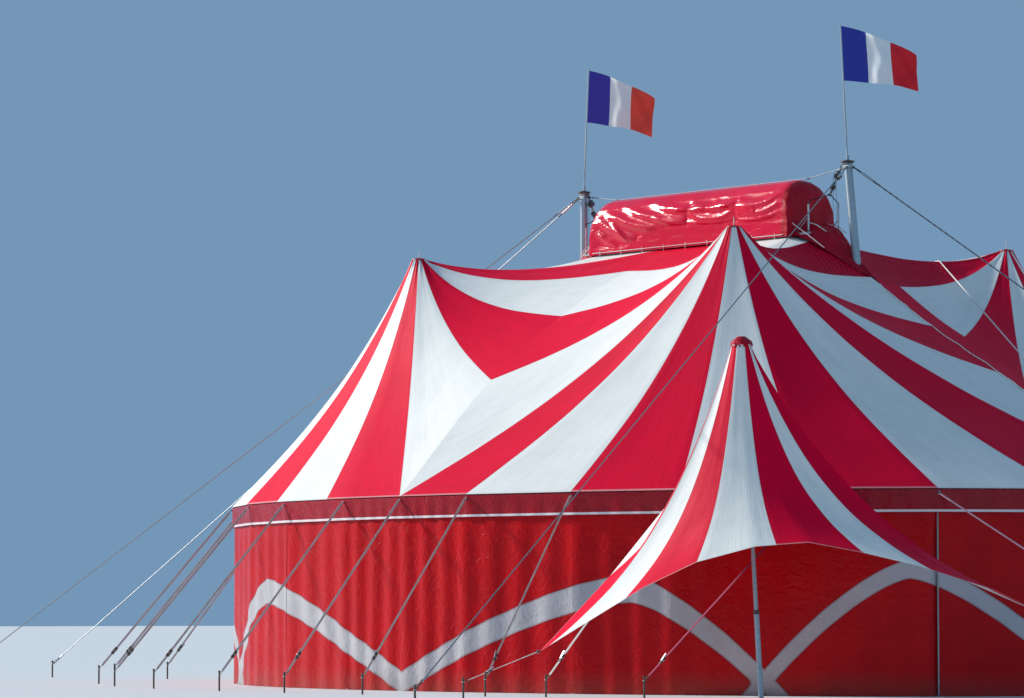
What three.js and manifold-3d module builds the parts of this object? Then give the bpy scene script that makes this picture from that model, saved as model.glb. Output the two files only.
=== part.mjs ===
// Circus big top: two king poles with a raised cupola between them, four quarter-pole peaks,
// an oval eave on side poles, curtain walls, a corner porch, guys, straps and stakes.
// Millimetres, +Z up, long side along X, entrance porch at the +X, -Y corner.
import * as THREE from 'three';
import { mergeVertices } from 'three/addons/utils/BufferGeometryUtils.js';
import Module from 'manifold-3d';

const wasm = await Module();
wasm.setup();

// Driving dimensions.
const GAP = 0.3;
const WELD = 0.24;
const PEAK = { x: 5080, y: 4170, z: 9530 };
const PEAK_RING = 160;
const EAVE = { a: 13000, b: 8900, z: 4020 };
const SHEET = 60;
const GORE_ARCS = [0, 2000, 4700, 7150, 9900, 12300, 14750];
const CUPOLA = { half: 3170, side: 720, base: 9735, top: 11000, wall: 30 };
const CUPOLA_ARCH = [[1, 0.4], [0.95, 0.62], [0.8, 0.8], [0.55, 0.93], [0.25, 0.99],
  [-0.25, 0.99], [-0.55, 0.93], [-0.8, 0.8], [-0.95, 0.62], [-1, 0.4]];
const CUPOLA_RIM = 9730;
const FRAME_HIGH = 59.7;
const LIFT = { x: 3570, y: 460, top: 10420 };
const SLIT_HALF = 130;
const SLIT_EDGE = [[3400, 9660], [4200, 9240], [4900, 8790], [5000, 8750], [5200, 8619.3]];
const SKIRT_HALF = [330, 250, 165, 140, 60];
const SKIRT_HUMP = [0, 60, 10, 0, 0];
const VALLEY_SIDE = [[500, 9730], [2480, 9060], [4410, 7980], [6400, 6530], [8810, 4120]];
const VALLEY_END = [[5000, 8750], [6760, 7600], [8680, 6520], [10800, 5250]];
const KING = { radius: 90, top: 11300, leftX: -4140, rightX: 4300, rightFootX: 5600 };
const HEAD = { radius: 150, thick: 40 };
const STAFF = { radius: 18, left: 2850, right: 3000 };
const FLAG = { long: 1800, high: 1200, thick: 16 };
const QUARTER_RADIUS = 55;
const SIDE_POLE = { inset: 150, radius: 38, top: 3950 };
const RAIL = { low: 3910, high: EAVE.z - SHEET - GAP };
const WALL = { inner: -80, outer: -50, top: RAIL.low - GAP };
const VALANCE = { inner: -50 + GAP, outer: -25, low: 3550 };
const STRAP = { reach: 3000, wide: 50, thick: 10 };
const DOOR_STAKES = { 3: [6600, -10700], 4: [8550, -9950], 5: [17800, -4100] };
const STAKE = { radius: 22, high: 420, hook: 330 };
const GUY = { radius: 12, lines: [[60, -92, 12800, -19100], [96, 38, 19300, 4250], [84, 88, 15900, 9000]] };
const COLLAR = { half: 105, halfHigh: 35, share: 0.012 };
const RIDGE = { radius: 10, y: 60, x: 3050, z: 11020 };
const PORCH = {
  peak: [10290, -9050, 6600],
  foot: [11030, -9300, 0],
  left: [7800, -11900, 900],
  right: [16100, -7050, 1540],
  front: [[8900, -11450, 1560], [9800, -11120, 2080], [10800, -10720, 2540], [11800, -10200, 2820],
    [12600, -9620, 2890], [13400, -9020, 2700], [14250, -8420, 2450], [15300, -7600, 2020]],
  leftMiddle: [7550, -9900, 2320],
  rightMiddle: [12950, -7000, 2560],
  leftStake: [7450, -13500, 0],
  rightStake: [17900, -7000, 0],
};

const PORCH_EDGE = 90;
const PORCH_TIES = [4, 3];
const BARE_POLES = [3, 4];
const PORCH_SHEET = 36;
const PORCH_RING = 195;

const V = (x, y, z) => new THREE.Vector3(x, y, z);

// Solids from three geometries and back again.
function solid(geometry) {
  const bare = geometry.index ? geometry : geometry.clone();
  bare.deleteAttribute('normal');
  bare.deleteAttribute('uv');
  const merged = mergeVertices(bare, 0.01);
  const mesh = new wasm.Mesh({
    numProp: 3,
    vertProperties: new Float32Array(merged.attributes.position.array),
    triVerts: new Uint32Array(merged.index.array),
  });
  return new wasm.Manifold(mesh);
}

function geometryOf(body) {
  const mesh = body.getMesh();
  const geometry = new THREE.BufferGeometry();
  geometry.setAttribute('position', new THREE.BufferAttribute(new Float32Array(mesh.vertProperties), 3));
  geometry.setIndex(new THREE.BufferAttribute(new Uint32Array(mesh.triVerts), 1));
  const welded = mergeVertices(geometry, WELD);
  const index = welded.index.array;
  const kept = [];
  for (let i = 0; i < index.length; i += 3) {
    const [a, b, c] = [index[i], index[i + 1], index[i + 2]];
    if (a !== b && b !== c && c !== a) kept.push(a, b, c);
  }
  welded.setIndex(kept);
  welded.computeVertexNormals();
  return welded;
}

function join(bodies) {
  return bodies.reduce((sum, body) => sum.add(body));
}

function turned(geometry, from, to) {
  const along = new THREE.Vector3().subVectors(to, from);
  const turn = new THREE.Quaternion().setFromUnitVectors(V(0, 1, 0), along.clone().normalize());
  geometry.applyQuaternion(turn);
  const middle = new THREE.Vector3().addVectors(from, to).multiplyScalar(0.5);
  geometry.translate(middle.x, middle.y, middle.z);
  return geometry;
}

function rod(from, to, radius, sides = 8, topRadius = radius) {
  const geometry = new THREE.CylinderGeometry(topRadius, radius, from.distanceTo(to), sides);
  return solid(turned(geometry, from, to));
}

function block(x0, x1, y0, y1, z0, z1) {
  const geometry = new THREE.BoxGeometry(x1 - x0, y1 - y0, z1 - z0);
  geometry.translate((x0 + x1) / 2, (y0 + y1) / 2, (z0 + z1) / 2);
  return solid(geometry);
}

// A flat bar between two points, its broad faces turned up as far as they go.
function bar(from, to, wide, thick) {
  const along = new THREE.Vector3().subVectors(to, from);
  const length = along.length();
  along.normalize();
  const side = V(-along.y, along.x, 0).normalize();
  const up = new THREE.Vector3().crossVectors(along, side);
  const geometry = new THREE.BoxGeometry(length, wide, thick);
  geometry.applyMatrix4(new THREE.Matrix4().makeBasis(along, side, up));
  const middle = new THREE.Vector3().addVectors(from, to).multiplyScalar(0.5);
  geometry.translate(middle.x, middle.y, middle.z);
  return solid(geometry);
}

// Closed shell from two grids of points, upper and lower; the columns may run round and meet.
function shell(upper, lower, round) {
  const rows = upper.length;
  const cols = upper[0].length;
  const points = [];
  for (const grid of [upper, lower]) {
    for (const row of grid) {
      for (const point of row) points.push(point.x, point.y, point.z);
    }
  }
  const at = (layer, row, col) => layer * rows * cols + row * cols + (col % cols);
  const faces = [];
  const quad = (a, b, c, d) => faces.push(a, b, c, a, c, d);
  const spans = round ? cols : cols - 1;
  for (let row = 0; row < rows - 1; row++) {
    for (let col = 0; col < spans; col++) {
      quad(at(0, row, col), at(0, row + 1, col), at(0, row + 1, col + 1), at(0, row, col + 1));
      quad(at(1, row, col), at(1, row, col + 1), at(1, row + 1, col + 1), at(1, row + 1, col));
    }
  }
  for (let col = 0; col < spans; col++) {
    quad(at(0, 0, col), at(0, 0, col + 1), at(1, 0, col + 1), at(1, 0, col));
    const end = rows - 1;
    quad(at(0, end, col), at(1, end, col), at(1, end, col + 1), at(0, end, col + 1));
  }
  for (let row = 0; row < rows - 1 && !round; row++) {
    quad(at(0, row, 0), at(1, row, 0), at(1, row + 1, 0), at(0, row + 1, 0));
    const last = cols - 1;
    quad(at(0, row, last), at(0, row + 1, last), at(1, row + 1, last), at(1, row, last));
  }
  const geometry = new THREE.BufferGeometry();
  geometry.setAttribute('position', new THREE.BufferAttribute(new Float32Array(points), 3));
  geometry.setIndex(faces);
  return outward(solid(geometry), geometry);
}

// The same body turned inside out when its faces look inward.
function outward(body, geometry) {
  if (body.volume() > 0) return body;
  const index = Array.from(geometry.index.array);
  for (let i = 0; i < index.length; i += 3) [index[i + 1], index[i + 2]] = [index[i + 2], index[i + 1]];
  const flipped = geometry.clone();
  flipped.setIndex(index);
  return solid(flipped);
}

// Eave polygon: one corner at every side pole, counted round from the middle of the front.
function quarterCorners() {
  const corners = [];
  const steps = 4000;
  let arc = 0;
  let last = V(0, EAVE.b, 0);
  let want = 0;
  for (let i = 0; i <= steps && want < GORE_ARCS.length; i++) {
    const angle = Math.PI / 2 * (1 - i / steps);
    const here = V(EAVE.a * Math.cos(angle), EAVE.b * Math.sin(angle), 0);
    arc += here.distanceTo(last);
    last = here;
    if (arc >= GORE_ARCS[want] - 2) {
      corners.push(here.clone());
      want += 1;
    }
  }
  corners.push(V(EAVE.a, 0, 0));
  return corners;
}

const QUARTER = quarterCorners();

function eaveRing() {
  const ring = [];
  const last = QUARTER.length - 1;
  for (let i = 0; i < last; i++) ring.push(V(QUARTER[i].x, -QUARTER[i].y, 0));
  for (let i = last; i > 0; i--) ring.push(V(QUARTER[i].x, QUARTER[i].y, 0));
  for (let i = 0; i < last; i++) ring.push(V(-QUARTER[i].x, QUARTER[i].y, 0));
  for (let i = last; i > 0; i--) ring.push(V(-QUARTER[i].x, -QUARTER[i].y, 0));
  return ring;
}

const RING = eaveRing();

// Corner k of the eave polygon, moved outward square to the two sides that meet there.
function corner(k, out, z) {
  const n = RING.length;
  const here = RING[(k + n) % n];
  const before = RING[(k - 1 + n) % n];
  const after = RING[(k + 1 + n) % n];
  const first = V(here.y - before.y, before.x - here.x, 0).normalize();
  const second = V(after.y - here.y, here.x - after.x, 0).normalize();
  const miter = first.clone().add(second).normalize();
  return here.clone().addScaledVector(miter, out / miter.dot(first)).setZ(z);
}

// Slope of half the turn of the polygon at corner k.
function turnSlope(k) {
  const a = corner(k, 0, 0).sub(corner(k - 1, 0, 0));
  const b = corner(k + 1, 0, 0).sub(corner(k, 0, 0));
  return Math.tan(a.angleTo(b) / 2);
}

function outwardAt(k) {
  return corner(k, 1000, 0).sub(corner(k, 0, 0)).normalize();
}

// Boundary of the front right roof quarter, seen as x, |y|, z; it runs once round the peak.
function roofLoop() {
  const loop = [];
  const spread = (from, to, parts) => {
    for (let i = 0; i < parts; i++) loop.push(from.clone().lerp(to, i / parts));
  };
  const side = VALLEY_SIDE.map(([y, z]) => V(GAP / 2, y, z));
  const edge = QUARTER.map((point) => V(Math.max(point.x, GAP / 2), Math.max(point.y, GAP / 2), EAVE.z));
  const end = VALLEY_END.map(([x, z]) => V(x, GAP / 2, z)).reverse();
  side.push(edge[0]);
  for (let i = 0; i < side.length - 1; i++) spread(side[i], side[i + 1], 1);
  for (let i = 0; i < edge.length - 1; i++) spread(edge[i], edge[i + 1], 2);
  const inner = [edge[edge.length - 1], ...end];
  for (let i = 0; i < inner.length - 1; i++) spread(inner[i], inner[i + 1], 1);
  loop.push(V(SLIT_EDGE[3][0], GAP / 2, SLIT_EDGE[3][1]));
  for (const [x, z] of SLIT_EDGE.slice(0, 3).reverse()) loop.push(V(x, SLIT_HALF, z));
  loop.push(V(3000, 500, CUPOLA_RIM - GAP));
  loop.push(V(1500, 500, CUPOLA_RIM - GAP));
  return loop.filter((point, i) => i === 0 || point.distanceTo(loop[i - 1]) > 1);
}

// How far the canvas hangs below a straight line from peak to edge.
function sagTo(point) {
  const low = (CUPOLA_RIM - point.z) / (CUPOLA_RIM - EAVE.z);
  return 310 + 260 * low;
}

function hang(t) {
  return ((1 - t) - (1 - t) ** 3) / 0.3849;
}

function fan(peak, ringRadius, loop, sagOf, steps, thick) {
  const upper = [];
  const lower = [];
  for (const t of steps) {
    const top = loop.map((point) => {
      const reach = Math.hypot(point.x - peak.x, point.y - peak.y);
      const start = ringRadius / reach;
      const s = start + (1 - start) * t;
      const z = peak.z * (1 - t) + point.z * t - sagOf(point) * hang(t);
      return V(peak.x + (point.x - peak.x) * s, peak.y + (point.y - peak.y) * s, z);
    });
    upper.push(top);
    lower.push(top.map((point) => V(point.x, point.y, point.z - thick)));
  }
  return shell(upper, lower, true);
}

const ROOF_STEPS = [0, 0.05, 0.12, 0.22, 0.36, 0.55, 0.77, 1];

function roofQuarter() {
  const peak = V(PEAK.x, PEAK.y, PEAK.z);
  return fan(peak, PEAK_RING, roofLoop(), sagTo, ROOF_STEPS, SHEET);
}

// Poles that carry the roof.
function quarterPole() {
  const foot = block(PEAK.x - 200, PEAK.x + 200, PEAK.y - 200, PEAK.y + 200, 0, 20);
  const pole = rod(V(PEAK.x, PEAK.y, 10), V(PEAK.x, PEAK.y, PEAK.z + 40), QUARTER_RADIUS, 10);
  const dome = [[0, 0], [182, 0], [176, 30], [125, 70], [42, 92], [0, 92]];
  const cap = new THREE.LatheGeometry(dome.map(([r, z]) => new THREE.Vector2(r, z)), 14);
  cap.rotateX(Math.PI / 2);
  cap.translate(PEAK.x, PEAK.y, PEAK.z + GAP);
  const spike = rod(V(PEAK.x, PEAK.y, PEAK.z + 60), V(PEAK.x, PEAK.y, PEAK.z + 330), 16, 6, 6);
  return join([foot, pole, solid(cap), spike]);
}

function kingEnds(right) {
  const top = V(right ? KING.rightX : KING.leftX, 0, KING.top);
  const foot = V(right ? KING.rightFootX : KING.leftX, 0, 0);
  return { top, foot };
}

function kingPole(right) {
  const { top, foot } = kingEnds(right);
  const low = foot.clone().lerp(top, 0.001);
  const plate = block(foot.x - 350, foot.x + 350, -350, 350, 0, 30);
  const head = rod(top.clone().setZ(KING.top - HEAD.thick), top, HEAD.radius, 12);
  return join([rod(low, foot.clone().lerp(top, 0.998), KING.radius, 12), plate, head]);
}

function staffEnds(right) {
  const foot = V(right ? KING.rightX : KING.leftX, 0, KING.top + GAP);
  const tip = V(foot.x + (right ? -200 : 160), 0, KING.top + (right ? STAFF.right : STAFF.left));
  return { foot, tip };
}

function flagStaff(right) {
  const { foot, tip } = staffEnds(right);
  const socket = block(foot.x - 40, foot.x + 40, -40, 40, foot.z, foot.z + 120);
  return join([socket, rod(V(foot.x, 0, foot.z + 5), tip, STAFF.radius, 8)]);
}

// Flag cloth: a waved slab hanging from the staff on its wind side.
function flag(right) {
  const { foot, tip } = staffEnds(right);
  const wind = V(Math.cos(Math.PI / 8), Math.sin(Math.PI / 8), 0);
  const across = V(-wind.y, wind.x, 0);
  const start = STAFF.radius * Math.cos(Math.PI / 8) + (right ? 1.1 : 0.6);
  const reach = FLAG.long * (right ? 0.94 : 0.9);
  const high = tip.clone().lerp(foot, 0.02);
  const low = tip.clone().lerp(foot, 0.02 + FLAG.high / (right ? STAFF.right : STAFF.left));
  const upper = [];
  const lower = [];
  for (let row = 0; row <= 12; row++) {
    const u = row / 12;
    const wave = Math.sin(u * 9) * 90 * u;
    const line = (side) => [[high, 740], [low, right ? 300 : 400]].map(([edge, drop]) => edge.clone()
      .addScaledVector(wind, start + u * reach)
      .addScaledVector(across, wave + side * FLAG.thick / 2)
      .add(V(0, 0, -drop * (0.6 * u + 0.4 * u * u))));
    upper.push(line(1));
    lower.push(line(-1));
  }
  return shell(upper, lower, false);
}

// Raised cupola between the king poles.
function cupolaFrame() {
  const z0 = CUPOLA_RIM;
  const z1 = CUPOLA_RIM + FRAME_HIGH;
  const reach = CUPOLA.half - CUPOLA.wall - GAP;
  const wide = CUPOLA.side - CUPOLA.wall - GAP;
  const outer = block(-reach, reach, -wide, wide, z0, z1);
  const frame = outer.subtract(block(-3060, 3060, -485, 485, z0 - 10, z1 + 10));
  const parts = [frame];
  for (const sx of [-1, 1]) {
    for (const sy of [-1, 1]) {
      const y = sy * LIFT.y;
      const [x0, x1] = sx > 0 ? [3100, 3620] : [-3620, -3100];
      parts.push(block(x0, x1, y - 35, y + 35, z0 + 8, z1));
      parts.push(rod(V(sx * LIFT.x, y, z0 + 30), V(sx * LIFT.x, y, LIFT.top), 22, 8));
    }
  }
  return join(parts);
}

// Barrel-topped body from equal rings of points, one ring for each station along X.
function loft(rings) {
  const n = rings[0].length;
  const points = rings.flat();
  const faces = [];
  for (let r = 0; r < rings.length - 1; r++) {
    for (let i = 0; i < n; i++) {
      const a = r * n + i;
      const b = r * n + (i + 1) % n;
      faces.push(a, b, b + n, a, b + n, a + n);
    }
  }
  const last = (rings.length - 1) * n;
  for (let i = 1; i < n - 1; i++) faces.push(0, i + 1, i, last, last + i, last + i + 1);
  const geometry = new THREE.BufferGeometry();
  const flat = points.flatMap((point) => [point.x, point.y, point.z]);
  geometry.setAttribute('position', new THREE.BufferAttribute(new Float32Array(flat), 3));
  geometry.setIndex(faces);
  return outward(solid(geometry), geometry);
}

function cupolaBody(inset, base) {
  const stations = [[-1, 0.78], [-0.97, 0.93], [-0.9, 1], [0.9, 1], [0.97, 0.93], [1, 0.78]];
  const half = CUPOLA.half - inset;
  const side = CUPOLA.side - inset;
  const rise = CUPOLA.top - CUPOLA.base - inset;
  const rings = stations.map(([share, high]) => {
    const x = half * share;
    const ring = [V(x, side, base), V(x, -side, base)];
    for (const [y, z] of CUPOLA_ARCH) ring.push(V(x, -side * y, CUPOLA.base + rise * z * high));
    return ring;
  });
  return loft(rings);
}

function cupolaCover() {
  const notches = [-1, 1].map((sy) => block(-4000, 4000, sy * LIFT.y - 35 - GAP, sy * LIFT.y + 35 + GAP,
    CUPOLA.base - 50, CUPOLA_RIM + FRAME_HIGH + GAP));
  const hollow = join([cupolaBody(CUPOLA.wall, CUPOLA.base - 50), ...notches]);
  return cupolaBody(0, CUPOLA.base).subtract(hollow);
}

// Tongue of canvas that closes the slit between cupola and king pole.
function cupolaSkirt(right) {
  const side = right ? 1 : -1;
  const stations = SLIT_EDGE.map(([x, z], i) => [x, z + GAP + SKIRT_HUMP[i], SKIRT_HALF[i]]);
  const upper = stations.map(([x, z, w]) => [V(side * x, -w, z + 22), V(side * x, w, z + 22)]);
  const lower = stations.map(([x, z, w]) => [V(side * x, -w, z), V(side * x, w, z)]);
  const { top, foot } = kingEnds(right);
  const clear = rod(foot, top, KING.radius + 12, 12);
  return shell(upper, lower, false).subtract(clear);
}

// Chain hoist under the mast head, with two slings from its hook to the lifting rods.
function hoist(right) {
  const side = right ? 1 : -1;
  const x0 = kingEnds(right).top.x - side * 128;
  const z0 = KING.top - HEAD.thick - GAP;
  const hook = V(side * 3760, 0, 10600);
  const high = V(x0, 0, z0);
  const at = (share) => high.clone().lerp(hook, share);
  const shackle = block(x0 - 20, x0 + 20, -20, 20, z0 - 50, z0);
  const parts = [shackle, rod(high.clone().setZ(z0 - 10), hook, 13, 6)];
  for (const [a, b, r] of [[0.3, 0.52, 62], [0.66, 0.86, 50]]) parts.push(rod(at(a), at(b), r, 8));
  for (const sy of [-1, 1]) {
    const eye = V(side * LIFT.x, sy * LIFT.y, LIFT.top + GAP);
    parts.push(rod(hook, eye.clone().setZ(LIFT.top + 18), 11, 6));
    parts.push(block(eye.x - 26, eye.x + 26, eye.y - 26, eye.y + 26, eye.z, eye.z + 35));
  }
  return join(parts);
}

// Mast guys: a collar under the head with three cables to stakes. The two masts' guys match by
// half a turn about the middle of the tent.
function stake(x, y) {
  return rod(V(x, y, 0), V(x, y, STAKE.high), STAKE.radius, 8);
}

function guys(right) {
  const side = right ? 1 : -1;
  const { top, foot } = kingEnds(right);
  const middle = top.clone().lerp(foot, COLLAR.share);
  const { x: cx, z: cz } = middle;
  const { half, halfHigh } = COLLAR;
  const collar = block(cx - half, cx + half, -half, half, cz - halfHigh, cz + halfHigh)
    .subtract(rod(foot, top, KING.radius + GAP, 12));
  const parts = [collar];
  for (const [eyeX, eyeY, x, y] of GUY.lines) {
    const end = V(side * x, side * y, STAKE.hook);
    parts.push(rod(V(cx + side * eyeX, side * eyeY, cz), end, GUY.radius, 6));
    parts.push(stake(end.x, end.y));
  }
  return join(parts);
}

// Cable from mast head to mast head over the top of the cupola.
function ridgeCable() {
  const ends = [false, true].map((right) => {
    const { top, foot } = kingEnds(right);
    const middle = top.clone().lerp(foot, COLLAR.share);
    const inner = middle.x + (right ? -1 : 1) * (COLLAR.half + GAP + 1.3);
    return V(inner, RIDGE.y, middle.z);
  });
  const turns = [V(-RIDGE.x, RIDGE.y, RIDGE.z), V(RIDGE.x, RIDGE.y, RIDGE.z)];
  const path = [ends[0], ...turns, ends[1]];
  const parts = turns.map((at) => rod(at.clone().add(V(-20, 0, 0)), at.clone().add(V(20, 0, 0)), RIDGE.radius + 3, 8));
  for (let i = 0; i < 3; i++) parts.push(rod(path[i], path[i + 1], RIDGE.radius, 8));
  return join(parts);
}

// Side poles k0 to k1 with the rail over the wall, straps and stakes.
function eaveFrame(k0, k1) {
  const parts = [];
  for (let k = k0; k <= k1; k++) {
    const pole = corner(k, -SIDE_POLE.inset, 0);
    const out = outwardAt(k);
    parts.push(rod(pole.clone().setZ(0), pole.clone().setZ(SIDE_POLE.top), SIDE_POLE.radius, 8));
    const z = (RAIL.low + RAIL.high) / 2;
    const porch = BARE_POLES.includes(k);
    const tip = corner(k, porch ? PORCH_EDGE - GAP - 30 * turnSlope(k) : 20, z);
    parts.push(bar(pole.clone().setZ(z), tip, 60, RAIL.high - RAIL.low));
    const door = DOOR_STAKES[k];
    const end = door ? V(door[0], door[1], 0) : corner(k, 0, 0).addScaledVector(out, STRAP.reach);
    const start = porch ? corner(k, PORCH_EDGE - 60, z - 10) : tip.clone().addScaledVector(out, -12);
    parts.push(bar(start, end.clone().setZ(STAKE.hook), STRAP.wide, STRAP.thick));
    parts.push(stake(end.x, end.y));
  }
  parts.push(railAlong(k0 - 0.5, k1 + 0.5));
  return join(parts);
}

function railAlong(from, to) {
  const stops = polyline(from, to, GAP);
  return strip(stops, -48, -22, RAIL.low, RAIL.high);
}

// Corner numbers from one stop to another; a half number is the middle of a side.
function polyline(from, to, gap) {
  const stops = [{ at: from, shift: gap / 2 }];
  for (let k = Math.floor(from) + 1; k < to; k++) stops.push({ at: k, shift: 0 });
  stops.push({ at: to, shift: -gap / 2 });
  return stops;
}

function spot(stop, out, z) {
  const low = Math.floor(stop.at);
  const part = stop.at - low;
  if (part === 0 && stop.shift === 0) return corner(low, out, z);
  const a = corner(low, out, z);
  const b = corner(low + (part === 0 ? (stop.shift > 0 ? 1 : -1) : 1), out, z);
  const along = b.clone().sub(a).normalize();
  if (part === 0) return a.addScaledVector(along, Math.abs(stop.shift));
  return a.lerp(b, part).addScaledVector(along, stop.shift);
}

function strip(stops, inner, outer, z0, z1) {
  const upper = stops.map((stop) => [spot(stop, outer, z0), spot(stop, outer, z1)]);
  const lower = stops.map((stop) => [spot(stop, inner, z0), spot(stop, inner, z1)]);
  return shell(upper, lower, false);
}

function wall(from, to) {
  return strip(polyline(from, to, GAP), WALL.inner, WALL.outer, 0, WALL.top);
}

function valance(from, to) {
  return strip(polyline(from, to, GAP), VALANCE.inner, VALANCE.outer, VALANCE.low, WALL.top);
}

// Porch canopy: a small peaked awning on one leaning pole.
function porchLoop() {
  const loop = [V(...PORCH.left)];
  for (const point of PORCH.front) loop.push(V(...point));
  loop.push(V(...PORCH.right));
  loop.push(V(...PORCH.rightMiddle));
  for (const k of PORCH_TIES) loop.push(corner(k, PORCH_EDGE, 3990));
  loop.push(V(...PORCH.leftMiddle));
  return loop;
}

function porchCanopy() {
  const loop = porchLoop();
  const peak = V(...PORCH.peak);
  const sagOf = (point) => 300 + 130 * (peak.z - point.z) / 1000;
  return fan(peak, PORCH_RING, loop, sagOf, [0, 0.1, 0.25, 0.45, 0.7, 1], PORCH_SHEET);
}

function porchPole() {
  const foot = V(...PORCH.foot);
  const peak = V(...PORCH.peak);
  const middle = foot.clone().lerp(peak, 0.45);
  const plate = block(foot.x - 130, foot.x + 130, foot.y - 130, foot.y + 130, 0, 12);
  const dome = [[0, 0], [235, 0], [175, 150], [115, 195], [0, 200]];
  const cap = new THREE.LatheGeometry(dome.map(([r, z]) => new THREE.Vector2(r, z)), 8);
  cap.rotateX(Math.PI / 2);
  cap.translate(peak.x, peak.y, peak.z + GAP);
  const low = rod(foot.clone().setZ(8), middle, 32, 8);
  const high = rod(middle.clone().lerp(foot, 0.05), peak.clone().setZ(peak.z + 40), 24, 8);
  return join([plate, low, high, solid(cap)]);
}

// Shackle against the canopy's corner, with a ratchet strap from it to a stake.
function porchStrap(tip, base) {
  const tab = V(...tip).add(V(0, 0, -PORCH_SHEET / 2));
  const away = V(tip[0] - PORCH.peak[0], tip[1] - PORCH.peak[1], 0).normalize();
  const near = tab.clone().addScaledVector(away, GAP);
  const far = tab.clone().addScaledVector(away, 70);
  const to = V(base[0], base[1], STAKE.hook);
  const start = near.clone().lerp(far, 0.5);
  return join([bar(near, far, 60, 46), bar(start, to, STRAP.wide, STRAP.thick), stake(base[0], base[1])]);
}

// Named pieces and their materials.
const MATERIALS = {
  steel: new THREE.MeshStandardMaterial({ color: 0xb4bbbe, metalness: 0.8, roughness: 0.45 }),
  canvas: new THREE.MeshStandardMaterial({ color: 0xd2103a, metalness: 0, roughness: 0.5 }),
  vinyl: new THREE.MeshStandardMaterial({ color: 0xc00c34, metalness: 0, roughness: 0.25 }),
  cloth: new THREE.MeshStandardMaterial({ color: 0x2b3f96, metalness: 0, roughness: 0.8 }),
  strap: new THREE.MeshStandardMaterial({ color: 0x8d9496, metalness: 0.6, roughness: 0.5 }),
};

const root = new THREE.Group();
root.name = 'circus_big_top';

function put(name, body, material) {
  const mesh = new THREE.Mesh(geometryOf(body), MATERIALS[material].clone());
  mesh.name = name;
  root.add(mesh);
}

for (const right of [false, true]) {
  const end = right ? 'right' : 'left';
  put(`king_pole_${end}`, kingPole(right), 'steel');
  put(`flag_staff_${end}`, flagStaff(right), 'steel');
  put(`flag_${end}`, flag(right), 'cloth');
  put(`hoist_${end}`, hoist(right), 'steel');
  put(`mast_guys_${end}`, guys(right), 'steel');
  put(`cupola_skirt_${end}`, cupolaSkirt(right), 'vinyl');
}
put('cupola_frame', cupolaFrame(), 'steel');
put('ridge_cable', ridgeCable(), 'steel');
put('cupola_cover', cupolaCover(), 'vinyl');

const roof = roofQuarter();
const pole = quarterPole();
for (const [row, sy] of [['front', -1], ['back', 1]]) {
  for (const [end, sx] of [['left', -1], ['right', 1]]) {
    let quarter = roof;
    let post = pole;
    if (sx < 0) {
      quarter = quarter.mirror([1, 0, 0]);
      post = post.mirror([1, 0, 0]);
    }
    if (sy < 0) {
      quarter = quarter.mirror([0, 1, 0]);
      post = post.mirror([0, 1, 0]);
    }
    put(`roof_${row}_${end}`, quarter, 'canvas');
    put(`quarter_pole_${row}_${end}`, post, 'steel');
  }
}

const FRAMES = [
  ['front', -1, 1], ['front_right', 2, 4], ['right', 5, 9], ['back_right', 10, 12],
  ['back', 13, 15], ['back_left', 16, 18], ['left', 19, 23], ['front_left', 24, 26],
];
for (const [name, k0, k1] of FRAMES) put(`eave_frame_${name}`, eaveFrame(k0, k1), 'steel');

const WALLS = [
  ['front', -2, 2], ['front_right', 2, 4], ['entrance_left', 4, 5], ['entrance_right', 5, 6], ['right', 6, 9],
  ['back_right', 9, 12], ['back', 12, 16], ['back_left', 16, 19], ['left', 19, 23], ['front_left', 23, 26],
];
for (const [name, from, to] of WALLS) put(`wall_${name}`, wall(from, to), 'vinyl');

const VALANCES = [['front', -3, 3], ['right', 3, 11], ['back', 11, 17], ['left', 17, 25]];
for (const [name, from, to] of VALANCES) put(`valance_${name}`, valance(from, to), 'canvas');

put('porch_canopy', porchCanopy(), 'canvas');
put('porch_pole', porchPole(), 'steel');
put('porch_strap_left', porchStrap(PORCH.left, PORCH.leftStake), 'strap');
put('porch_strap_right', porchStrap(PORCH.right, PORCH.rightStake), 'strap');

export default root;
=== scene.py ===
"""Circus big top: striped canvas on four quarter poles, a raised cupola between two masts,
curtain walls with a wavy band, a peaked porch, flags, hoists, straps and stakes."""

import math

import bpy
from mathutils import Matrix, Vector, noise
from mathutils.bvhtree import BVHTree


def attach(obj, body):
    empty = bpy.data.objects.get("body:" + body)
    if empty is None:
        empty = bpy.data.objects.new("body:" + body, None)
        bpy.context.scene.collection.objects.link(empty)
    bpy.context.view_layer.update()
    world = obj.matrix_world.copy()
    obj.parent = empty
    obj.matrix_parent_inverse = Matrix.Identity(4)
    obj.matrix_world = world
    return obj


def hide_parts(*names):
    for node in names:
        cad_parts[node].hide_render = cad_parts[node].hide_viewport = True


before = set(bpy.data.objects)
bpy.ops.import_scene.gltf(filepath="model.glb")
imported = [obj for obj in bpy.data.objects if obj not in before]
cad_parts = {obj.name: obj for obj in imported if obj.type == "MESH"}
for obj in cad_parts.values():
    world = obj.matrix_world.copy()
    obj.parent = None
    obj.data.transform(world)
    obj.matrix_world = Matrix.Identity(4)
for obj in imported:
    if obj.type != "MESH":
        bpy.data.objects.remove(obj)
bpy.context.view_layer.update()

# Sizes in metres, as in the part.
PEAK = Vector((5.08, 4.17, 9.53))
PEAK_RING = 0.16
EAVE_A, EAVE_B, EAVE_Z = 13.0, 8.9, 4.02
GORE_ARCS = (0, 2.0, 4.7, 7.15, 9.9, 12.3, 14.75)
RIM_Z = 9.73
VALLEY_SIDE = ((0.5, 9.73), (2.48, 9.06), (4.41, 7.98), (6.4, 6.53), (8.9, 4.02))
VALLEY_END = ((4.98, 8.75), (6.76, 7.6), (8.68, 6.52), (10.8, 5.25), (13.0, 4.02))
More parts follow.
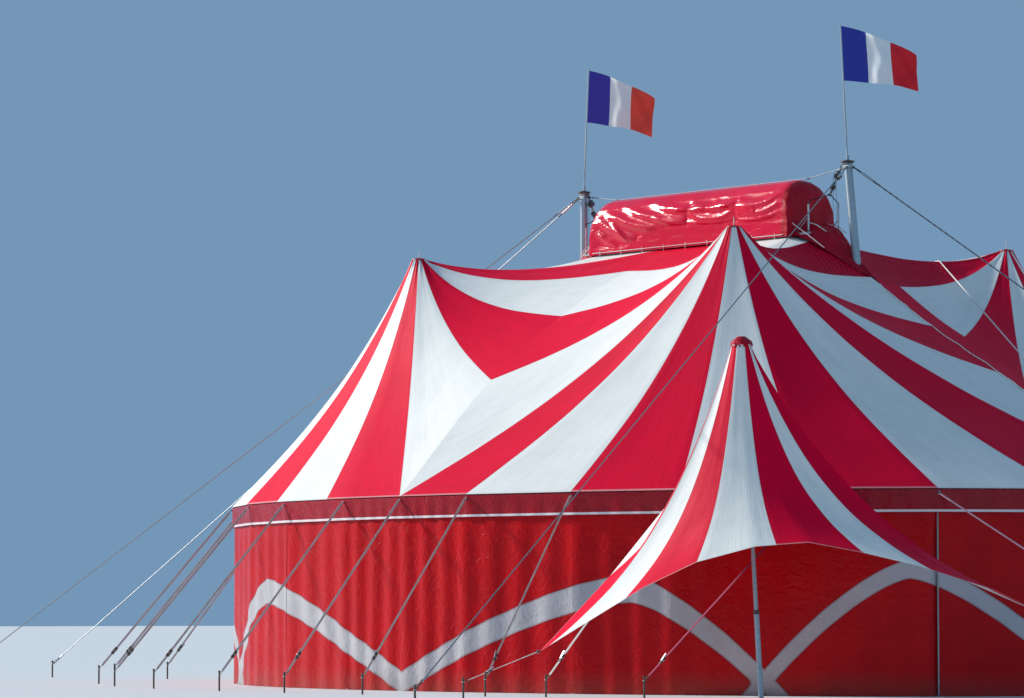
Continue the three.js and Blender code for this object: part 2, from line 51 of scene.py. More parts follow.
SLIT_EDGE = ((3.4, 9.66), (4.2, 9.24), (4.9, 8.79), (5.0, 8.75), (5.2, 8.6193))
WALL_TOP, VALANCE_LOW = 3.9097, 3.55
MAST_TOP, MAST_R = 11.3, 0.09
MAST_X = {"left": (-4.14, -4.14), "right": (4.3, 5.6)}
STAFF_TIP = {"left": 0.16, "right": -0.2}
STAFF_LONG = {"left": 2.85, "right": 3.0}
PORCH_PEAK = Vector((10.29, -9.05, 6.6))
PORCH_FOOT = Vector((11.03, -9.3, 0))
PORCH_LEFT = Vector((7.8, -11.9, 0.9))
PORCH_RIGHT = Vector((16.1, -7.05, 1.54))
PORCH_FRONT = ((8.9, -11.45, 1.56), (9.8, -11.12, 2.08), (10.8, -10.72, 2.54), (11.8, -10.2, 2.82),
               (12.6, -9.62, 2.89), (13.4, -9.02, 2.7), (14.25, -8.42, 2.45), (15.3, -7.6, 2.02))
PORCH_STAKES = ((7.45, -13.5), (17.9, -7.0))
GAP = 0.00015               # half the room between two roof quarters
CLEAR = 0.0003              # room between parts that are stacked
# Mast guys: eye on the collar x, y and stake x, y on the right side; the left side is turned round.
GUY_LINES = ((0.06, -0.092, 12.8, -19.1), (0.096, 0.038, 19.3, 4.25), (0.084, 0.088, 15.9, 9.0))
# Half a hoop of the cupola: share of its half width and of its height.
HOOP = [(math.cos(math.pi * i / 16), math.sin(math.pi * i / 16) ** 0.75) for i in range(17)]
# Stakes of the wide straps beside the way in, by eave corner.
DOOR_STAKES = {3: (6.6, -10.7), 4: (8.55, -9.95), 5: (17.8, -4.1)}
PORCH_TIES = (4, 3)         # eave corners that the porch is tied to
STRIP_WIDE = 0.6            # red strip along a laced edge
# Rope laid on the front left quarter.
OVER_ROPE = ((-4.2, -3.15), (-5.6, -3.1), (-7.05, -3.1), (-8.6, -3.05))
HOOK_Z = 0.33               # straps and cables meet their stakes here
STRAP_REACH = 3.0
RAIL_OUT, RAIL_Z, ARM_Z = -0.035, 3.935, 3.945
RAIL_REACH = 0.4999         # share of a span that a rail goes on past its last pole
ARM_OUT, TIE_OUT = 0.03, 0.075
STRAP_WIDE, DOOR_STRAP_WIDE = 0.05, 0.075
FLAG_LONG, FLAG_HIGH = 1.8, 1.2
FLAG_ROWS, FLAG_COLUMNS = 80, 40
CUPOLA_HALF, CUPOLA_SIDE, CUPOLA_BASE, CUPOLA_RISE = 3.17, 0.72, 9.735, 1.265
COLLAR_SHARE = 0.012        # how far down the mast the collar of the guys sits
ROPE_LIFT = 0.012           # a laid rope's middle over the canvas
SIDES = (("left", -1), ("right", 1))
ROWS = (("front", -1), ("back", 1))
EAVE_FRAMES = (("front", -1, 1), ("front_right", 2, 4), ("right", 5, 9), ("back_right", 10, 12),
               ("back", 13, 15),
               ("back_left", 16, 18), ("left", 19, 23), ("front_left", 24, 26))


def up(high):
    return Vector((0, 0, high))


def compass(i, count):
    """Level direction i of so many round the circle."""
    turn = 2 * math.pi * i / count
    return Vector((math.cos(turn), math.sin(turn), 0))


# Camera, floor and light

def studio():
    """Long lens from the front right at eye height, a pale floor, low sun from the left and soft sky."""
    camera = bpy.data.cameras.new("view")
    camera.lens = 141.4
    camera.sensor_width = 36
    camera.clip_end = 900
    eye = bpy.data.objects.new("view", camera)
    eye.location = (64.36, -61.879, 1.6)
    eye.rotation_euler = (math.radians(93.76), 0, math.radians(48.94))
    bpy.context.collection.objects.link(eye)
    bpy.context.scene.camera = eye
    bpy.context.scene.view_settings.view_transform = "Standard"

    bpy.ops.object.select_all(action="DESELECT")
    bpy.ops.mesh.primitive_plane_add(size=700, location=(0, 0, -0.002))
    floor = bpy.context.object
    floor.name = "floor"
    floor.data.materials.append(floor_paint())

    sun = bpy.data.lights.new("key", "SUN")
    sun.energy = 4.6
    sun.angle = math.radians(5)
    sun.color = (1.0, 0.965, 0.9)
    lamp = bpy.data.objects.new("key", sun)
    lamp.rotation_euler = Vector((-0.86, -0.33, 0.46)).to_track_quat("Z", "Y").to_euler()
    bpy.context.collection.objects.link(lamp)

    world = bpy.data.worlds.new("studio")
    world.use_nodes = True
    back = world.node_tree.nodes["Background"]
    back.inputs["Color"].default_value = linear("#94BEE6")
    back.inputs["Strength"].default_value = 0.6
    bpy.context.scene.world = world


# Materials

def linear(code):
    """sRGB hex to the renderer's linear colour."""
    parts = [int(code[i:i + 2], 16) / 255 for i in (1, 3, 5)]
    return tuple(c / 12.92 if c <= 0.04045 else ((c + 0.055) / 1.055) ** 2.4 for c in parts) + (1.0,)


def add(tree, kind, inputs=None, **settings):
    """Adds a node with its settings, values and links."""
    node = tree.nodes.new("ShaderNode" + kind)
    for field, value in settings.items():
        setattr(node, field, value)
    for socket, value in (inputs or {}).items():
        if isinstance(value, bpy.types.NodeSocket):
            tree.links.new(value, node.inputs[socket])
        else:
            node.inputs[socket].default_value = value
    return node


def blank(name):
    material = bpy.data.materials.new(name)
    material.use_nodes = True
    tree = material.node_tree
    tree.nodes.clear()
    return material, tree


def close(tree, shader):
    add(tree, "OutputMaterial", {"Surface": shader.outputs["BSDF"]})


def floor_paint():
    """Matt painted studio floor: faint roller mottling about 300 mm across."""
    material, tree = blank("matt floor paint")
    where = add(tree, "TexCoord").outputs["Object"]
    cloud = add(tree, "TexNoise", {"Vector": where, "Scale": 3.3, "Detail": 3.0}).outputs["Fac"]
    tone = add(tree, "Mix", {0: cloud, 6: linear("#D3D6D8"), 7: linear("#DADCDD")}, data_type="RGBA")
    close(tree, add(tree, "BsdfPrincipled", {"Base Color": tone.outputs[2], "Roughness": 0.8}))
    return material


def coated_canvas(name, body, soiled, rough, grime, edging, pleat_and_shade_depth=0.0):
    """Calendered PVC on woven polyester: satin, a little grimy down the slope, with a welded lap
    20 mm wide beside every gore seam, white webbing sewn along the hem, a red strip along the
    laced edge and pleats 110 mm apart round the mast's slit, darkened along their folds as painted
    shade. Threads are 1 mm, drawn as 12 mm."""
    material, tree = blank(name)
    cloth = add(tree, "UVMap", uv_map="cloth").outputs["UV"]
    seam = add(tree, "Attribute", attribute_name="seam").outputs["Fac"]
    hem = add(tree, "Attribute", attribute_name="hem").outputs["Fac"]
    cloud = add(tree, "TexNoise", {"Vector": cloth, "Scale": 0.8, "Detail": 5.0,
                                   "Roughness": 0.6}).outputs["Fac"]
    down = add(tree, "Mapping", {"Vector": cloth, "Scale": (5.0, 0.35, 1.0)}).outputs["Vector"]
    streak = add(tree, "TexNoise", {"Vector": down, "Scale": 1.0, "Detail": 6.0,
                                    "Roughness": 0.65}).outputs["Fac"]
    dirt = add(tree, "Math", {0: cloud, 1: streak}, operation="MULTIPLY").outputs[0]
    dirt = add(tree, "MapRange", {"Value": dirt, "From Min": 0.16, "From Max": 0.5,
                                  "To Max": grime}).outputs[0]
    border = add(tree, "Attribute", attribute_name="border").outputs["Fac"]
    strip = add(tree, "Math", {0: border, 1: 1.0}, operation="SUBTRACT").outputs[0]
    strip = add(tree, "Math", {0: strip}, operation="ABSOLUTE").outputs[0]
    strip = add(tree, "Math", {0: strip, 1: STRIP_WIDE}, operation="MULTIPLY").outputs[0]
    seam = add(tree, "Math", {0: seam, 1: strip}, operation="MINIMUM").outputs[0]
    lap = add(tree, "MapRange", {"Value": seam, "From Min": 0.02, "From Max": 0.034, "To Min": 1.0,
                                 "To Max": 0.0}).outputs[0]
    lap = add(tree, "Math", {0: lap, 1: 0.3}, operation="MULTIPLY").outputs[0]
    worn = add(tree, "Math", {0: dirt, 1: lap}, operation="MAXIMUM").outputs[0]
    tone = add(tree, "Mix", {0: worn, 6: linear(body), 7: linear(soiled)}, data_type="RGBA").outputs[2]
    edged = add(tree, "Math", {0: border, 1: 1.0}, operation="LESS_THAN").outputs[0]
    tone = add(tree, "Mix", {0: edged, 6: tone, 7: linear(edging)}, data_type="RGBA").outputs[2]
    pleat_and_shade = pleats(tree, pleat_and_shade_depth)
    # Painted shade: the canvas is darkened towards #5E0018 along the pleats.
    tone = add(tree, "Mix", {0: pleat_and_shade, 6: tone, 7: linear("#5E0018")}, data_type="RGBA").outputs[2]
    tape = add(tree, "Math", {0: hem, 1: 1.0}, operation="LESS_THAN").outputs[0]
    tape = add(tree, "Math", {0: tape, 1: 0.4}, operation="MULTIPLY").outputs[0]
    tone = add(tree, "Mix", {0: tape, 6: tone, 7: linear("#D2CBC8")}, data_type="RGBA").outputs[2]
    gloss = add(tree, "MapRange", {"Value": cloud, "To Min": rough - 0.08, "To Max": rough + 0.12}).outputs[0]
    threads = add(tree, "TexBrick", {"Vector": cloth, "Scale": 1.0, "Color1": (1, 1, 1, 1),
                                     "Color2": (0.7, 0.7, 0.7, 1),
                                     "Mortar": (0, 0, 0, 1), "Mortar Size": 0.0016, "Brick Width": 0.012,
                                     "Row Height": 0.012}).outputs["Color"]
    crease = add(tree, "TexNoise", {"Vector": down, "Scale": 2.4, "Detail": 3.0}).outputs["Fac"]
    fine = add(tree, "Bump", {"Height": threads, "Strength": 0.2, "Distance": 0.001}).outputs["Normal"]
    folds = add(tree, "Bump", {"Height": crease, "Strength": 0.3, "Distance": 0.012,
                               "Normal": fine}).outputs["Normal"]
    folds = add(tree, "Bump", {"Height": pleat_and_shade, "Strength": 0.6, "Distance": 0.03,
                               "Normal": folds}).outputs["Normal"]
    raised = add(tree, "Bump", {"Height": lap, "Strength": 0.8, "Distance": 0.003,
                                "Normal": folds}).outputs["Normal"]
    close(tree, add(tree, "BsdfPrincipled", {"Base Color": tone, "Roughness": gloss, "Normal": raised,
                                             "IOR": 1.5, "Specular IOR Level": 0.06}))
    return material


def pleats(tree, depth):
    """Side by side pleats, 26 degrees off the tent's long way, fading out 2 m from the mast's slit.
    The mask raises the pleats and also darkens them as painted shade.
    """
    where = add(tree, "TexCoord").outputs["Object"]
    where = add(tree, "VectorMath", {0: where}, operation="ABSOLUTE").outputs["Vector"]
    turned = add(tree, "VectorMath", {0: where, 1: (-0.438, 0.899, 0)},
                 operation="DOT_PRODUCT").outputs["Value"]
    drift = add(tree, "TexNoise", {"Vector": where, "Scale": 1.3, "Detail": 2.0}).outputs["Fac"]
    turned = add(tree, "Math", {0: drift, 1: 0.22, 2: turned}, operation="MULTIPLY_ADD").outputs[0]
    wave = add(tree, "Math", {0: turned, 1: 57.0}, operation="MULTIPLY").outputs[0]
    wave = add(tree, "Math", {0: wave}, operation="SINE").outputs[0]
    wave = add(tree, "MapRange", {"Value": wave, "From Min": -0.2, "From Max": 1.0}).outputs[0]
    away = add(tree, "VectorMath", {0: where, 1: (4.3, 1.25, 9.1)}, operation="DISTANCE").outputs["Value"]
    fade = add(tree, "MapRange", {"Value": away, "From Min": 1.0, "From Max": 2.0, "To Min": depth,
                                  "To Max": 0.0}).outputs[0]
    return add(tree, "Math", {0: wave, 1: fade}, operation="MULTIPLY").outputs[0]


def wall_vinyl():
    """Soft PVC curtain: deep red with a welded-on white band in pointed arches, scuffed and
    muddy near the ground."""
    material, tree = blank("curtain vinyl")
    cloth = add(tree, "UVMap", uv_map="cloth").outputs["UV"]
    band = add(tree, "Attribute", attribute_name="band").outputs["Fac"]
    high = add(tree, "Attribute", attribute_name="high").outputs["Fac"]
    white = add(tree, "MapRange", {"Value": band, "From Min": -0.006, "From Max": 0.006}).outputs[0]
    edge = add(tree, "Math", {0: band}, operation="ABSOLUTE").outputs[0]
    weld = add(tree, "MapRange", {"Value": edge, "From Min": 0.012, "From Max": 0.03, "To Min": 0.35,
                                  "To Max": 0.0}).outputs[0]
    cloud = add(tree, "TexNoise", {"Vector": cloth, "Scale": 1.1, "Detail": 5.0,
                                   "Roughness": 0.6}).outputs["Fac"]
    red = add(tree, "Mix", {0: cloud, 6: linear("#D6000E"), 7: linear("#A60009")},
              data_type="RGBA").outputs[2]
    pale = add(tree, "Mix", {0: cloud, 6: linear("#CFCACB"), 7: linear("#A9A5A9")},
               data_type="RGBA").outputs[2]
    tone = add(tree, "Mix", {0: white, 6: red, 7: pale}, data_type="RGBA").outputs[2]
    tone = add(tree, "Mix", {0: weld, 6: tone, 7: linear("#6C0F1A")}, data_type="RGBA").outputs[2]
    mud = add(tree, "MapRange", {"Value": high, "From Min": 0.0, "From Max": 0.5, "To Min": 0.65,
                                 "To Max": 0.0}).outputs[0]
    mud = add(tree, "Math", {0: mud, 1: cloud}, operation="MULTIPLY").outputs[0]
    tone = add(tree, "Mix", {0: mud, 6: tone, 7: linear("#6E5A4C")}, data_type="RGBA").outputs[2]
    crease = add(tree, "TexNoise", {"Vector": cloth, "Scale": 5.0, "Detail": 4.0,
                                    "Distortion": 1.2}).outputs["Fac"]
    folds = add(tree, "Bump", {"Height": crease, "Strength": 0.65, "Distance": 0.03}).outputs["Normal"]
    gloss = add(tree, "MapRange", {"Value": cloud, "To Min": 0.22, "To Max": 0.38}).outputs[0]
    close(tree, add(tree, "BsdfPrincipled", {"Base Color": tone, "Roughness": gloss, "Normal": folds,
                                             "IOR": 1.5,
                                             "Specular IOR Level": 0.16}))
    return material


def valance_vinyl():
    """Crinkled gloss red PVC strip with a white welt 45 mm wide along its hem."""
    material, tree = blank("valance vinyl")
    cloth = add(tree, "UVMap", uv_map="cloth").outputs["UV"]
    high = add(tree, "Attribute", attribute_name="high").outputs["Fac"]
    line = add(tree, "Math", {0: high, 1: 0.034}, operation="SUBTRACT").outputs[0]
    line = add(tree, "Math", {0: line}, operation="ABSOLUTE").outputs[0]
    line = add(tree, "MapRange", {"Value": line, "From Min": 0.021, "From Max": 0.025, "To Min": 1.0,
                                  "To Max": 0.0}).outputs[0]
    cloud = add(tree, "TexNoise", {"Vector": cloth, "Scale": 2.0, "Detail": 4.0}).outputs["Fac"]
    red = add(tree, "Mix", {0: cloud, 6: linear("#B8001A"), 7: linear("#880014")},
              data_type="RGBA").outputs[2]
    tone = add(tree, "Mix", {0: line, 6: red, 7: linear("#E9DEDF")}, data_type="RGBA").outputs[2]
    crease = add(tree, "TexNoise", {"Vector": cloth, "Scale": 7.0, "Detail": 3.0,
                                    "Distortion": 1.2}).outputs["Fac"]
    folds = add(tree, "Bump", {"Height": crease, "Strength": 0.7, "Distance": 0.02}).outputs["Normal"]
    close(tree, add(tree, "BsdfPrincipled", {"Base Color": tone, "Roughness": 0.26, "Normal": folds,
                                             "IOR": 1.5,
                                             "Specular IOR Level": 0.35}))
    return material


def cupola_vinyl(name, body, deep, low, high, crumpled, shine=0.5):
    """Soft PVC, gloss from low to high: small creases about 250 mm apart over the modelled folds."""
    material, tree = blank(name)
    where = add(tree, "TexCoord").outputs["Object"]
    cloud = add(tree, "TexNoise", {"Vector": where, "Scale": 1.6, "Detail": 4.0}).outputs["Fac"]
    tone = add(tree, "Mix", {0: cloud, 6: linear(body), 7: linear(deep)}, data_type="RGBA").outputs[2]
    slant = add(tree, "Mapping", {"Vector": where, "Rotation": (0, math.radians(28), 0),
                                  "Scale": (1.2, 2.0, 4.0)}).outputs["Vector"]
    crumple = add(tree, "TexNoise", {"Vector": slant, "Scale": 1.2, "Detail": 3.0,
                                     "Distortion": 1.4}).outputs["Fac"]
    folds = add(tree, "Bump", {"Height": crumple, "Strength": crumpled, "Distance": 0.04}).outputs["Normal"]
    gloss = add(tree, "MapRange", {"Value": cloud, "To Min": low, "To Max": high}).outputs[0]
    close(tree, add(tree, "BsdfPrincipled", {"Base Color": tone, "Roughness": gloss, "Normal": folds,
                                             "IOR": 1.5,
                                             "Specular IOR Level": shine}))
    return material


def flag_cloth(name, stripes):
    """Warp-knitted polyester flag in three upright stripes; stitches drawn as 8 mm."""
    material, tree = blank(name)
    cloth = add(tree, "UVMap", uv_map="cloth").outputs["UV"]
    along = add(tree, "SeparateXYZ", {0: cloth}).outputs["X"]
    second = add(tree, "Math", {0: along, 1: 0.6}, operation="GREATER_THAN").outputs[0]
    third = add(tree, "Math", {0: along, 1: 1.2}, operation="GREATER_THAN").outputs[0]
    cloud = add(tree, "TexNoise", {"Vector": cloth, "Scale": 3.0, "Detail": 4.0}).outputs["Fac"]
    shades = []
    for fresh, faded in stripes:
        shades.append(add(tree, "Mix", {0: cloud, 6: linear(fresh), 7: linear(faded)},
                          data_type="RGBA").outputs[2])
    tone = add(tree, "Mix", {0: second, 6: shades[0], 7: shades[1]}, data_type="RGBA").outputs[2]
    tone = add(tree, "Mix", {0: third, 6: tone, 7: shades[2]}, data_type="RGBA").outputs[2]
    knit = add(tree, "TexChecker", {"Vector": cloth, "Scale": 125.0}).outputs["Fac"]
    bump = add(tree, "Bump", {"Height": knit, "Strength": 0.15, "Distance": 0.001}).outputs["Normal"]
    close(tree, add(tree, "BsdfPrincipled", {"Base Color": tone, "Roughness": 0.7, "Normal": bump,
                                             "Sheen Weight": 0.15, "Sheen Roughness": 0.4}))
    return material


def galvanised(name="hot-dip galvanised steel", pale="#B7C2C8", dark="#8D999F", rough=0.42):
    """Zinc on steel: spangle patches about 25 mm across, dull, with darker runs."""
    material, tree = blank(name)
    where = add(tree, "TexCoord").outputs["Object"]
    spangle = add(tree, "TexVoronoi", {"Vector": where, "Scale": 40.0}).outputs["Color"]
    spangle = add(tree, "SeparateXYZ", {0: spangle}).outputs["X"]
    runs = add(tree, "TexNoise", {"Vector": where, "Scale": 1.5, "Detail": 6.0}).outputs["Fac"]
    mixed = add(tree, "Math", {0: spangle, 1: runs}, operation="MULTIPLY").outputs[0]
    tone = add(tree, "Mix", {0: mixed, 6: linear(pale), 7: linear(dark)}, data_type="RGBA").outputs[2]
    gloss = add(tree, "MapRange", {"Value": mixed, "To Min": rough - 0.06, "To Max": rough + 0.18}).outputs[0]
    bump = add(tree, "Bump", {"Height": runs, "Strength": 0.15, "Distance": 0.004}).outputs["Normal"]
    close(tree, add(tree, "BsdfPrincipled", {"Base Color": tone, "Metallic": 0.85, "Roughness": gloss,
                                             "Normal": bump}))
    return material


def machine_paint():
    """Chipped grey-blue machine enamel over dark primer; chips a few millimetres across."""
    material, tree = blank("chipped machine enamel")
    where = add(tree, "TexCoord").outputs["Object"]
    chips = add(tree, "TexNoise", {"Vector": where, "Scale": 60.0, "Detail": 4.0}).outputs["Fac"]
    chips = add(tree, "MapRange", {"Value": chips, "From Min": 0.6, "From Max": 0.64}).outputs[0]
    tone = add(tree, "Mix", {0: chips, 6: linear("#4B555E"), 7: linear("#2A2624")},
               data_type="RGBA").outputs[2]
    bump = add(tree, "Bump", {"Height": chips, "Strength": 0.3, "Distance": 0.001}).outputs["Normal"]
    close(tree, add(tree, "BsdfPrincipled", {"Base Color": tone, "Roughness": 0.45, "Normal": bump}))
    return material


def wire_rope():
    """Greased steel wire rope: six strands, drawn as 40 mm twists."""
    material, tree = blank("greased wire rope")
    where = add(tree, "TexCoord").outputs["Object"]
    strand = add(tree, "TexWave", {"Vector": where, "Scale": 8.0, "Distortion": 0.6},
                 bands_direction="DIAGONAL").outputs["Fac"]
    tone = add(tree, "Mix", {0: strand, 6: linear("#52585E"), 7: linear("#A0A6AB")},
               data_type="RGBA").outputs[2]
    bump = add(tree, "Bump", {"Height": strand, "Strength": 0.4, "Distance": 0.003}).outputs["Normal"]
    close(tree, add(tree, "BsdfPrincipled", {"Base Color": tone, "Metallic": 0.7, "Roughness": 0.5,
                                             "Normal": bump}))
    return material


def webbing(name, body, worn):
    """Polyester ratchet webbing: ribs 6 mm apart along the strap."""
    material, tree = blank(name)
    where = add(tree, "TexCoord").outputs["Object"]
    ribs = add(tree, "TexWave", {"Vector": where, "Scale": 26.0, "Distortion": 0.4},
               bands_direction="DIAGONAL").outputs["Fac"]
    cloud = add(tree, "TexNoise", {"Vector": where, "Scale": 4.0, "Detail": 4.0}).outputs["Fac"]
    tone = add(tree, "Mix", {0: cloud, 6: linear(body), 7: linear(worn)}, data_type="RGBA").outputs[2]
    bump = add(tree, "Bump", {"Height": ribs, "Strength": 0.4, "Distance": 0.001}).outputs["Normal"]
    close(tree, add(tree, "BsdfPrincipled", {"Base Color": tone, "Roughness": 0.75, "Normal": bump}))
    return material


def lacing_rope():
    """Laid white rope, greyed by weather; the lay is drawn as 30 mm."""
    material, tree = blank("polypropylene rope")
    where = add(tree, "TexCoord").outputs["Object"]
    lay = add(tree, "TexWave", {"Vector": where, "Scale": 10.0, "Distortion": 0.3},
              bands_direction="DIAGONAL").outputs["Fac"]
    tone = add(tree, "Mix", {0: lay, 6: linear("#F4F1EA"), 7: linear("#CFC8BF")}, data_type="RGBA").outputs[2]
    bump = add(tree, "Bump", {"Height": lay, "Strength": 0.5, "Distance": 0.003}).outputs["Normal"]
    close(tree, add(tree, "BsdfPrincipled", {"Base Color": tone, "Roughness": 0.8, "Normal": bump}))
    return material


# Eave polygon

def quarter_corners():
    """Side pole places on one quarter of the oval eave."""
    found, steps, arc = [], 4000, 0.0
    last = Vector((0, EAVE_B))
    for i in range(steps + 1):
        angle = math.pi / 2 * (1 - i / steps)
        here = Vector((EAVE_A * math.cos(angle), EAVE_B * math.sin(angle)))
        arc += (here - last).length
        last = here
        if len(found) < len(GORE_ARCS) and arc >= GORE_ARCS[len(found)] - 0.002:
            found.append(here)
    return found + [Vector((EAVE_A, 0))]


QUARTER = quarter_corners()


def eave_ring():
    """All corners of the eave, from the middle of the front round by the right."""
    ring = []
    for sx in (1, -1):
        ring += [Vector((sx * p.x, -sx * p.y)) for p in QUARTER[:-1]]
        ring += [Vector((sx * p.x, sx * p.y)) for p in QUARTER[:0:-1]]
    return ring


RING = eave_ring()
ROUND = len(RING)


def corner(k, out, z):
    """Corner k of the eave, moved outward square to the two sides that meet there."""
    here, before, after = RING[k % ROUND], RING[(k - 1) % ROUND], RING[(k + 1) % ROUND]
    first = Vector((here.y - before.y, before.x - here.x)).normalized()
    second = Vector((after.y - here.y, here.x - after.x)).normalized()
    miter = (first + second).normalized()
    spot = here + miter * (out / miter.dot(first))
    return Vector((spot.x, spot.y, z))


def round_eave(at, out, z):
    """A place between the corners: at is a corner number with a fraction."""
    low = math.floor(at)
    return corner(low, out, z).lerp(corner(low + 1, out, z), at - low)


def outward(k):
    """Level direction out from corner k."""
    return (corner(k, 1, 0) - corner(k, 0, 0)).normalized()


def quarter_arc(at):
    """Distance along the eave from the middle of the front or back, for any corner number."""
    at = at % ROUND
    at = ROUND - at if at > ROUND / 2 else at
    at = ROUND / 2 - at if at > ROUND / 4 else at
    arc = 0.0
    for k in range(len(QUARTER) - 1):
        step = (QUARTER[k + 1] - QUARTER[k]).length
        if at <= k + 1:
            return arc + step * (at - k)
        arc += step
    return arc


# Sheets of cloth

def ruffle(x, y, z, seed):
    """Soft noise from -1 to 1."""
    return noise.noise(Vector((x, y, z + seed * 7.31)))


def make_sheet(name, rows, uvs, finishes, heart, marks=None, tones=None, thick=0.004, closed=False):
    """A closed thin mesh from rows of points, with its own cloth coordinates and marks.
    Faces look away from heart. tones gives the finish number of each column of faces."""
    count, wide = len(rows), len(rows[0])
    points = [p for row in rows for p in row]
    faces, looks, corners = [], [], []
    for r in range(count - 1):
        for c in range(wide if closed else wide - 1):
            n = (c + 1) % wide
            faces.append((r * wide + c, (r + 1) * wide + c, (r + 1) * wide + n, r * wide + n))
            looks.append(tones[c] if tones else 0)
            corners += [uvs[r][c], uvs[r + 1][c], uvs[r + 1][c + 1], uvs[r][c + 1]]
    mesh = bpy.data.meshes.new(name)
    mesh.from_pydata(points, [], faces)
    layer = mesh.uv_layers.new(name="cloth")
    layer.data.foreach_set("uv", [v for pair in corners for v in pair])
    for mark_name, values in (marks or {}).items():
        attribute = mesh.attributes.new(mark_name, "FLOAT", "POINT")
        attribute.data.foreach_set("value", [v for row in values for v in row])
    mesh.polygons.foreach_set("material_index", looks)
    for finish in finishes:
        mesh.materials.append(finish)
    if sum((f.center - heart).dot(f.normal) * f.area for f in mesh.polygons) < 0:
        mesh.flip_normals()
    return give_thickness(name, mesh, thick)


def grid(row_count, column_count, spot):
    """Tables of what spot(row, column) gives at every place: point, cloth coordinates, marks."""
    cells = [[spot(r, c) for c in range(column_count + 1)] for r in range(row_count + 1)]
    return [[[cell[n] for cell in row] for row in cells] for n in range(len(cells[0][0]))]


def give_thickness(name, mesh, thick):
    piece = bpy.data.objects.new(name, mesh)
    bpy.context.collection.objects.link(piece)
    pick(piece)
    wall = piece.modifiers.new("thickness", "SOLIDIFY")
    wall.thickness = thick
    wall.offset = -1
    bpy.ops.object.modifier_apply(modifier=wall.name)
    bpy.ops.object.shade_smooth_by_angle(angle=math.radians(50))
    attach(piece, "root")
    return piece


def stands_for(piece, node, slot, **cloth):
    """Hands a sheet over in place of a CAD node."""
    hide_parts(node)
    return piece


def split(path, parts):
    """Points along a polyline that keep its corners; the last point is left off."""
    lengths = [(b - a).length for a, b in zip(path, path[1:])]
    left, points = parts, []
    for i, length in enumerate(lengths):
        after = len(lengths) - 1 - i
        n = max(1, min(left - after, round(left * length / sum(lengths[i:])))) if after else left
        points += [path[i].lerp(path[i + 1], j / n) for j in range(n)]
        left -= n
    return points


def through(knots, at):
    """Height on a smooth curve through (place, height) knots."""
    for i in range(len(knots) - 1):
        (x0, z0), (x1, z1) = knots[i], knots[i + 1]
        if at <= x1 or i == len(knots) - 2:
            slope = (z1 - z0) / (x1 - x0)
            before = (z0 - knots[i - 1][1]) / (x0 - knots[i - 1][0]) if i else slope
            after = (knots[i + 2][1] - z1) / (knots[i + 2][0] - x1) if i + 2 < len(knots) else slope
            m0, m1 = (before + slope) / 2, (after + slope) / 2
            h = x1 - x0
            u = (at - x0) / h
            return ((2 * u ** 3 - 3 * u ** 2 + 1) * z0 + (u ** 3 - 2 * u ** 2 + u) * h * m0
                    + (3 * u ** 2 - 2 * u ** 3) * z1 + (u ** 3 - u ** 2) * h * m1)


RED, WHITE = 0, 1
LAST_SEAM = 12.6            # where the lowest gore meets the laced edge, along x
PAST_END = 99               # farther than any place on a quarter of the eave


def on_edge(spot):
    return Vector((max(spot.x, GAP), max(spot.y, GAP), EAVE_Z))


def edge_place(arc):
    """Place on one quarter of the eave polygon at a distance from the middle of the front."""
    for a, b in zip(QUARTER, QUARTER[1:]):
        step = (b - a).length
        if arc <= step:
            return on_edge(a.lerp(b, arc / step))
        arc -= step
    return on_edge(QUARTER[-1])


def edge_path(start, stop):
    """Eave polygon from one distance to another, with the corners that lie between."""
    path, arc = [edge_place(start)], 0.0
    for a, b in zip(QUARTER, QUARTER[1:]):
        arc += (b - a).length
        if start + 0.05 < arc < stop - 0.05:
            path.append(on_edge(b))
    return path + [edge_place(stop)]


def roof_gores(arcs, laced):
    """Gores of one quarter, x, |y|, z, round its peak from the cupola's side: each is its edge
    path, its colour and how many columns it is drawn with. laced gives the seams on the edge
    that is laced to the next quarter."""
    side = [Vector((GAP, y, z)) for y, z in VALLEY_SIDE]
    end = [Vector((x, GAP, through(VALLEY_END, x))) for x in (LAST_SEAM, *reversed(laced))]
    rim = [Vector((3.0, 0.5, RIM_Z - CLEAR)), Vector((0.9, 0.5, RIM_Z)), Vector((GAP, 0.5, RIM_Z))]

    def valley(a, b, axis):
        knots = VALLEY_SIDE if axis == 1 else VALLEY_END
        path = []
        for i in range(7):
            p = a.lerp(b, i / 6)
            p.z = through(knots, p[axis])
            path.append(p)
        return path

    slit = [Vector((x, 0.13, z)) for x, z in SLIT_EDGE[:3]]
    gores = [([rim[1], rim[2]] + valley(side[0], side[1], 1)[1:], RED, 9)]
    gores += [(valley(side[i], side[i + 1], 1), (RED, WHITE)[i % 2], 9) for i in (1, 2, 3)]
    gores += [(edge_path(a, b), (RED, WHITE)[i % 2], 9) for i, (a, b) in enumerate(zip(arcs, arcs[1:]))]
    gores.append((edge_path(arcs[-1], PAST_END) + [end[0]], RED, 9))
    gores += [(valley(a, b, 0), tone, 12) for a, b, tone in zip(end, end[1:], (WHITE, RED, WHITE))]
    return gores + [([end[3], slit[2], slit[1], slit[0]], RED, 30), ([slit[0], rim[0], rim[1]], WHITE, 20)]


ROOF_ROWS = 44
GORE_WIDE = 2.4             # cloth coordinates: width of a gore and length of the fan
FAN_LONG = 10
STRIP_FROM = 4.9            # the red strip starts beyond the mast's slit
FAR = 9.0                   # mark of a place that is nowhere near a strip
MOST_SAG = 0.3849           # largest value of s - s ** 3


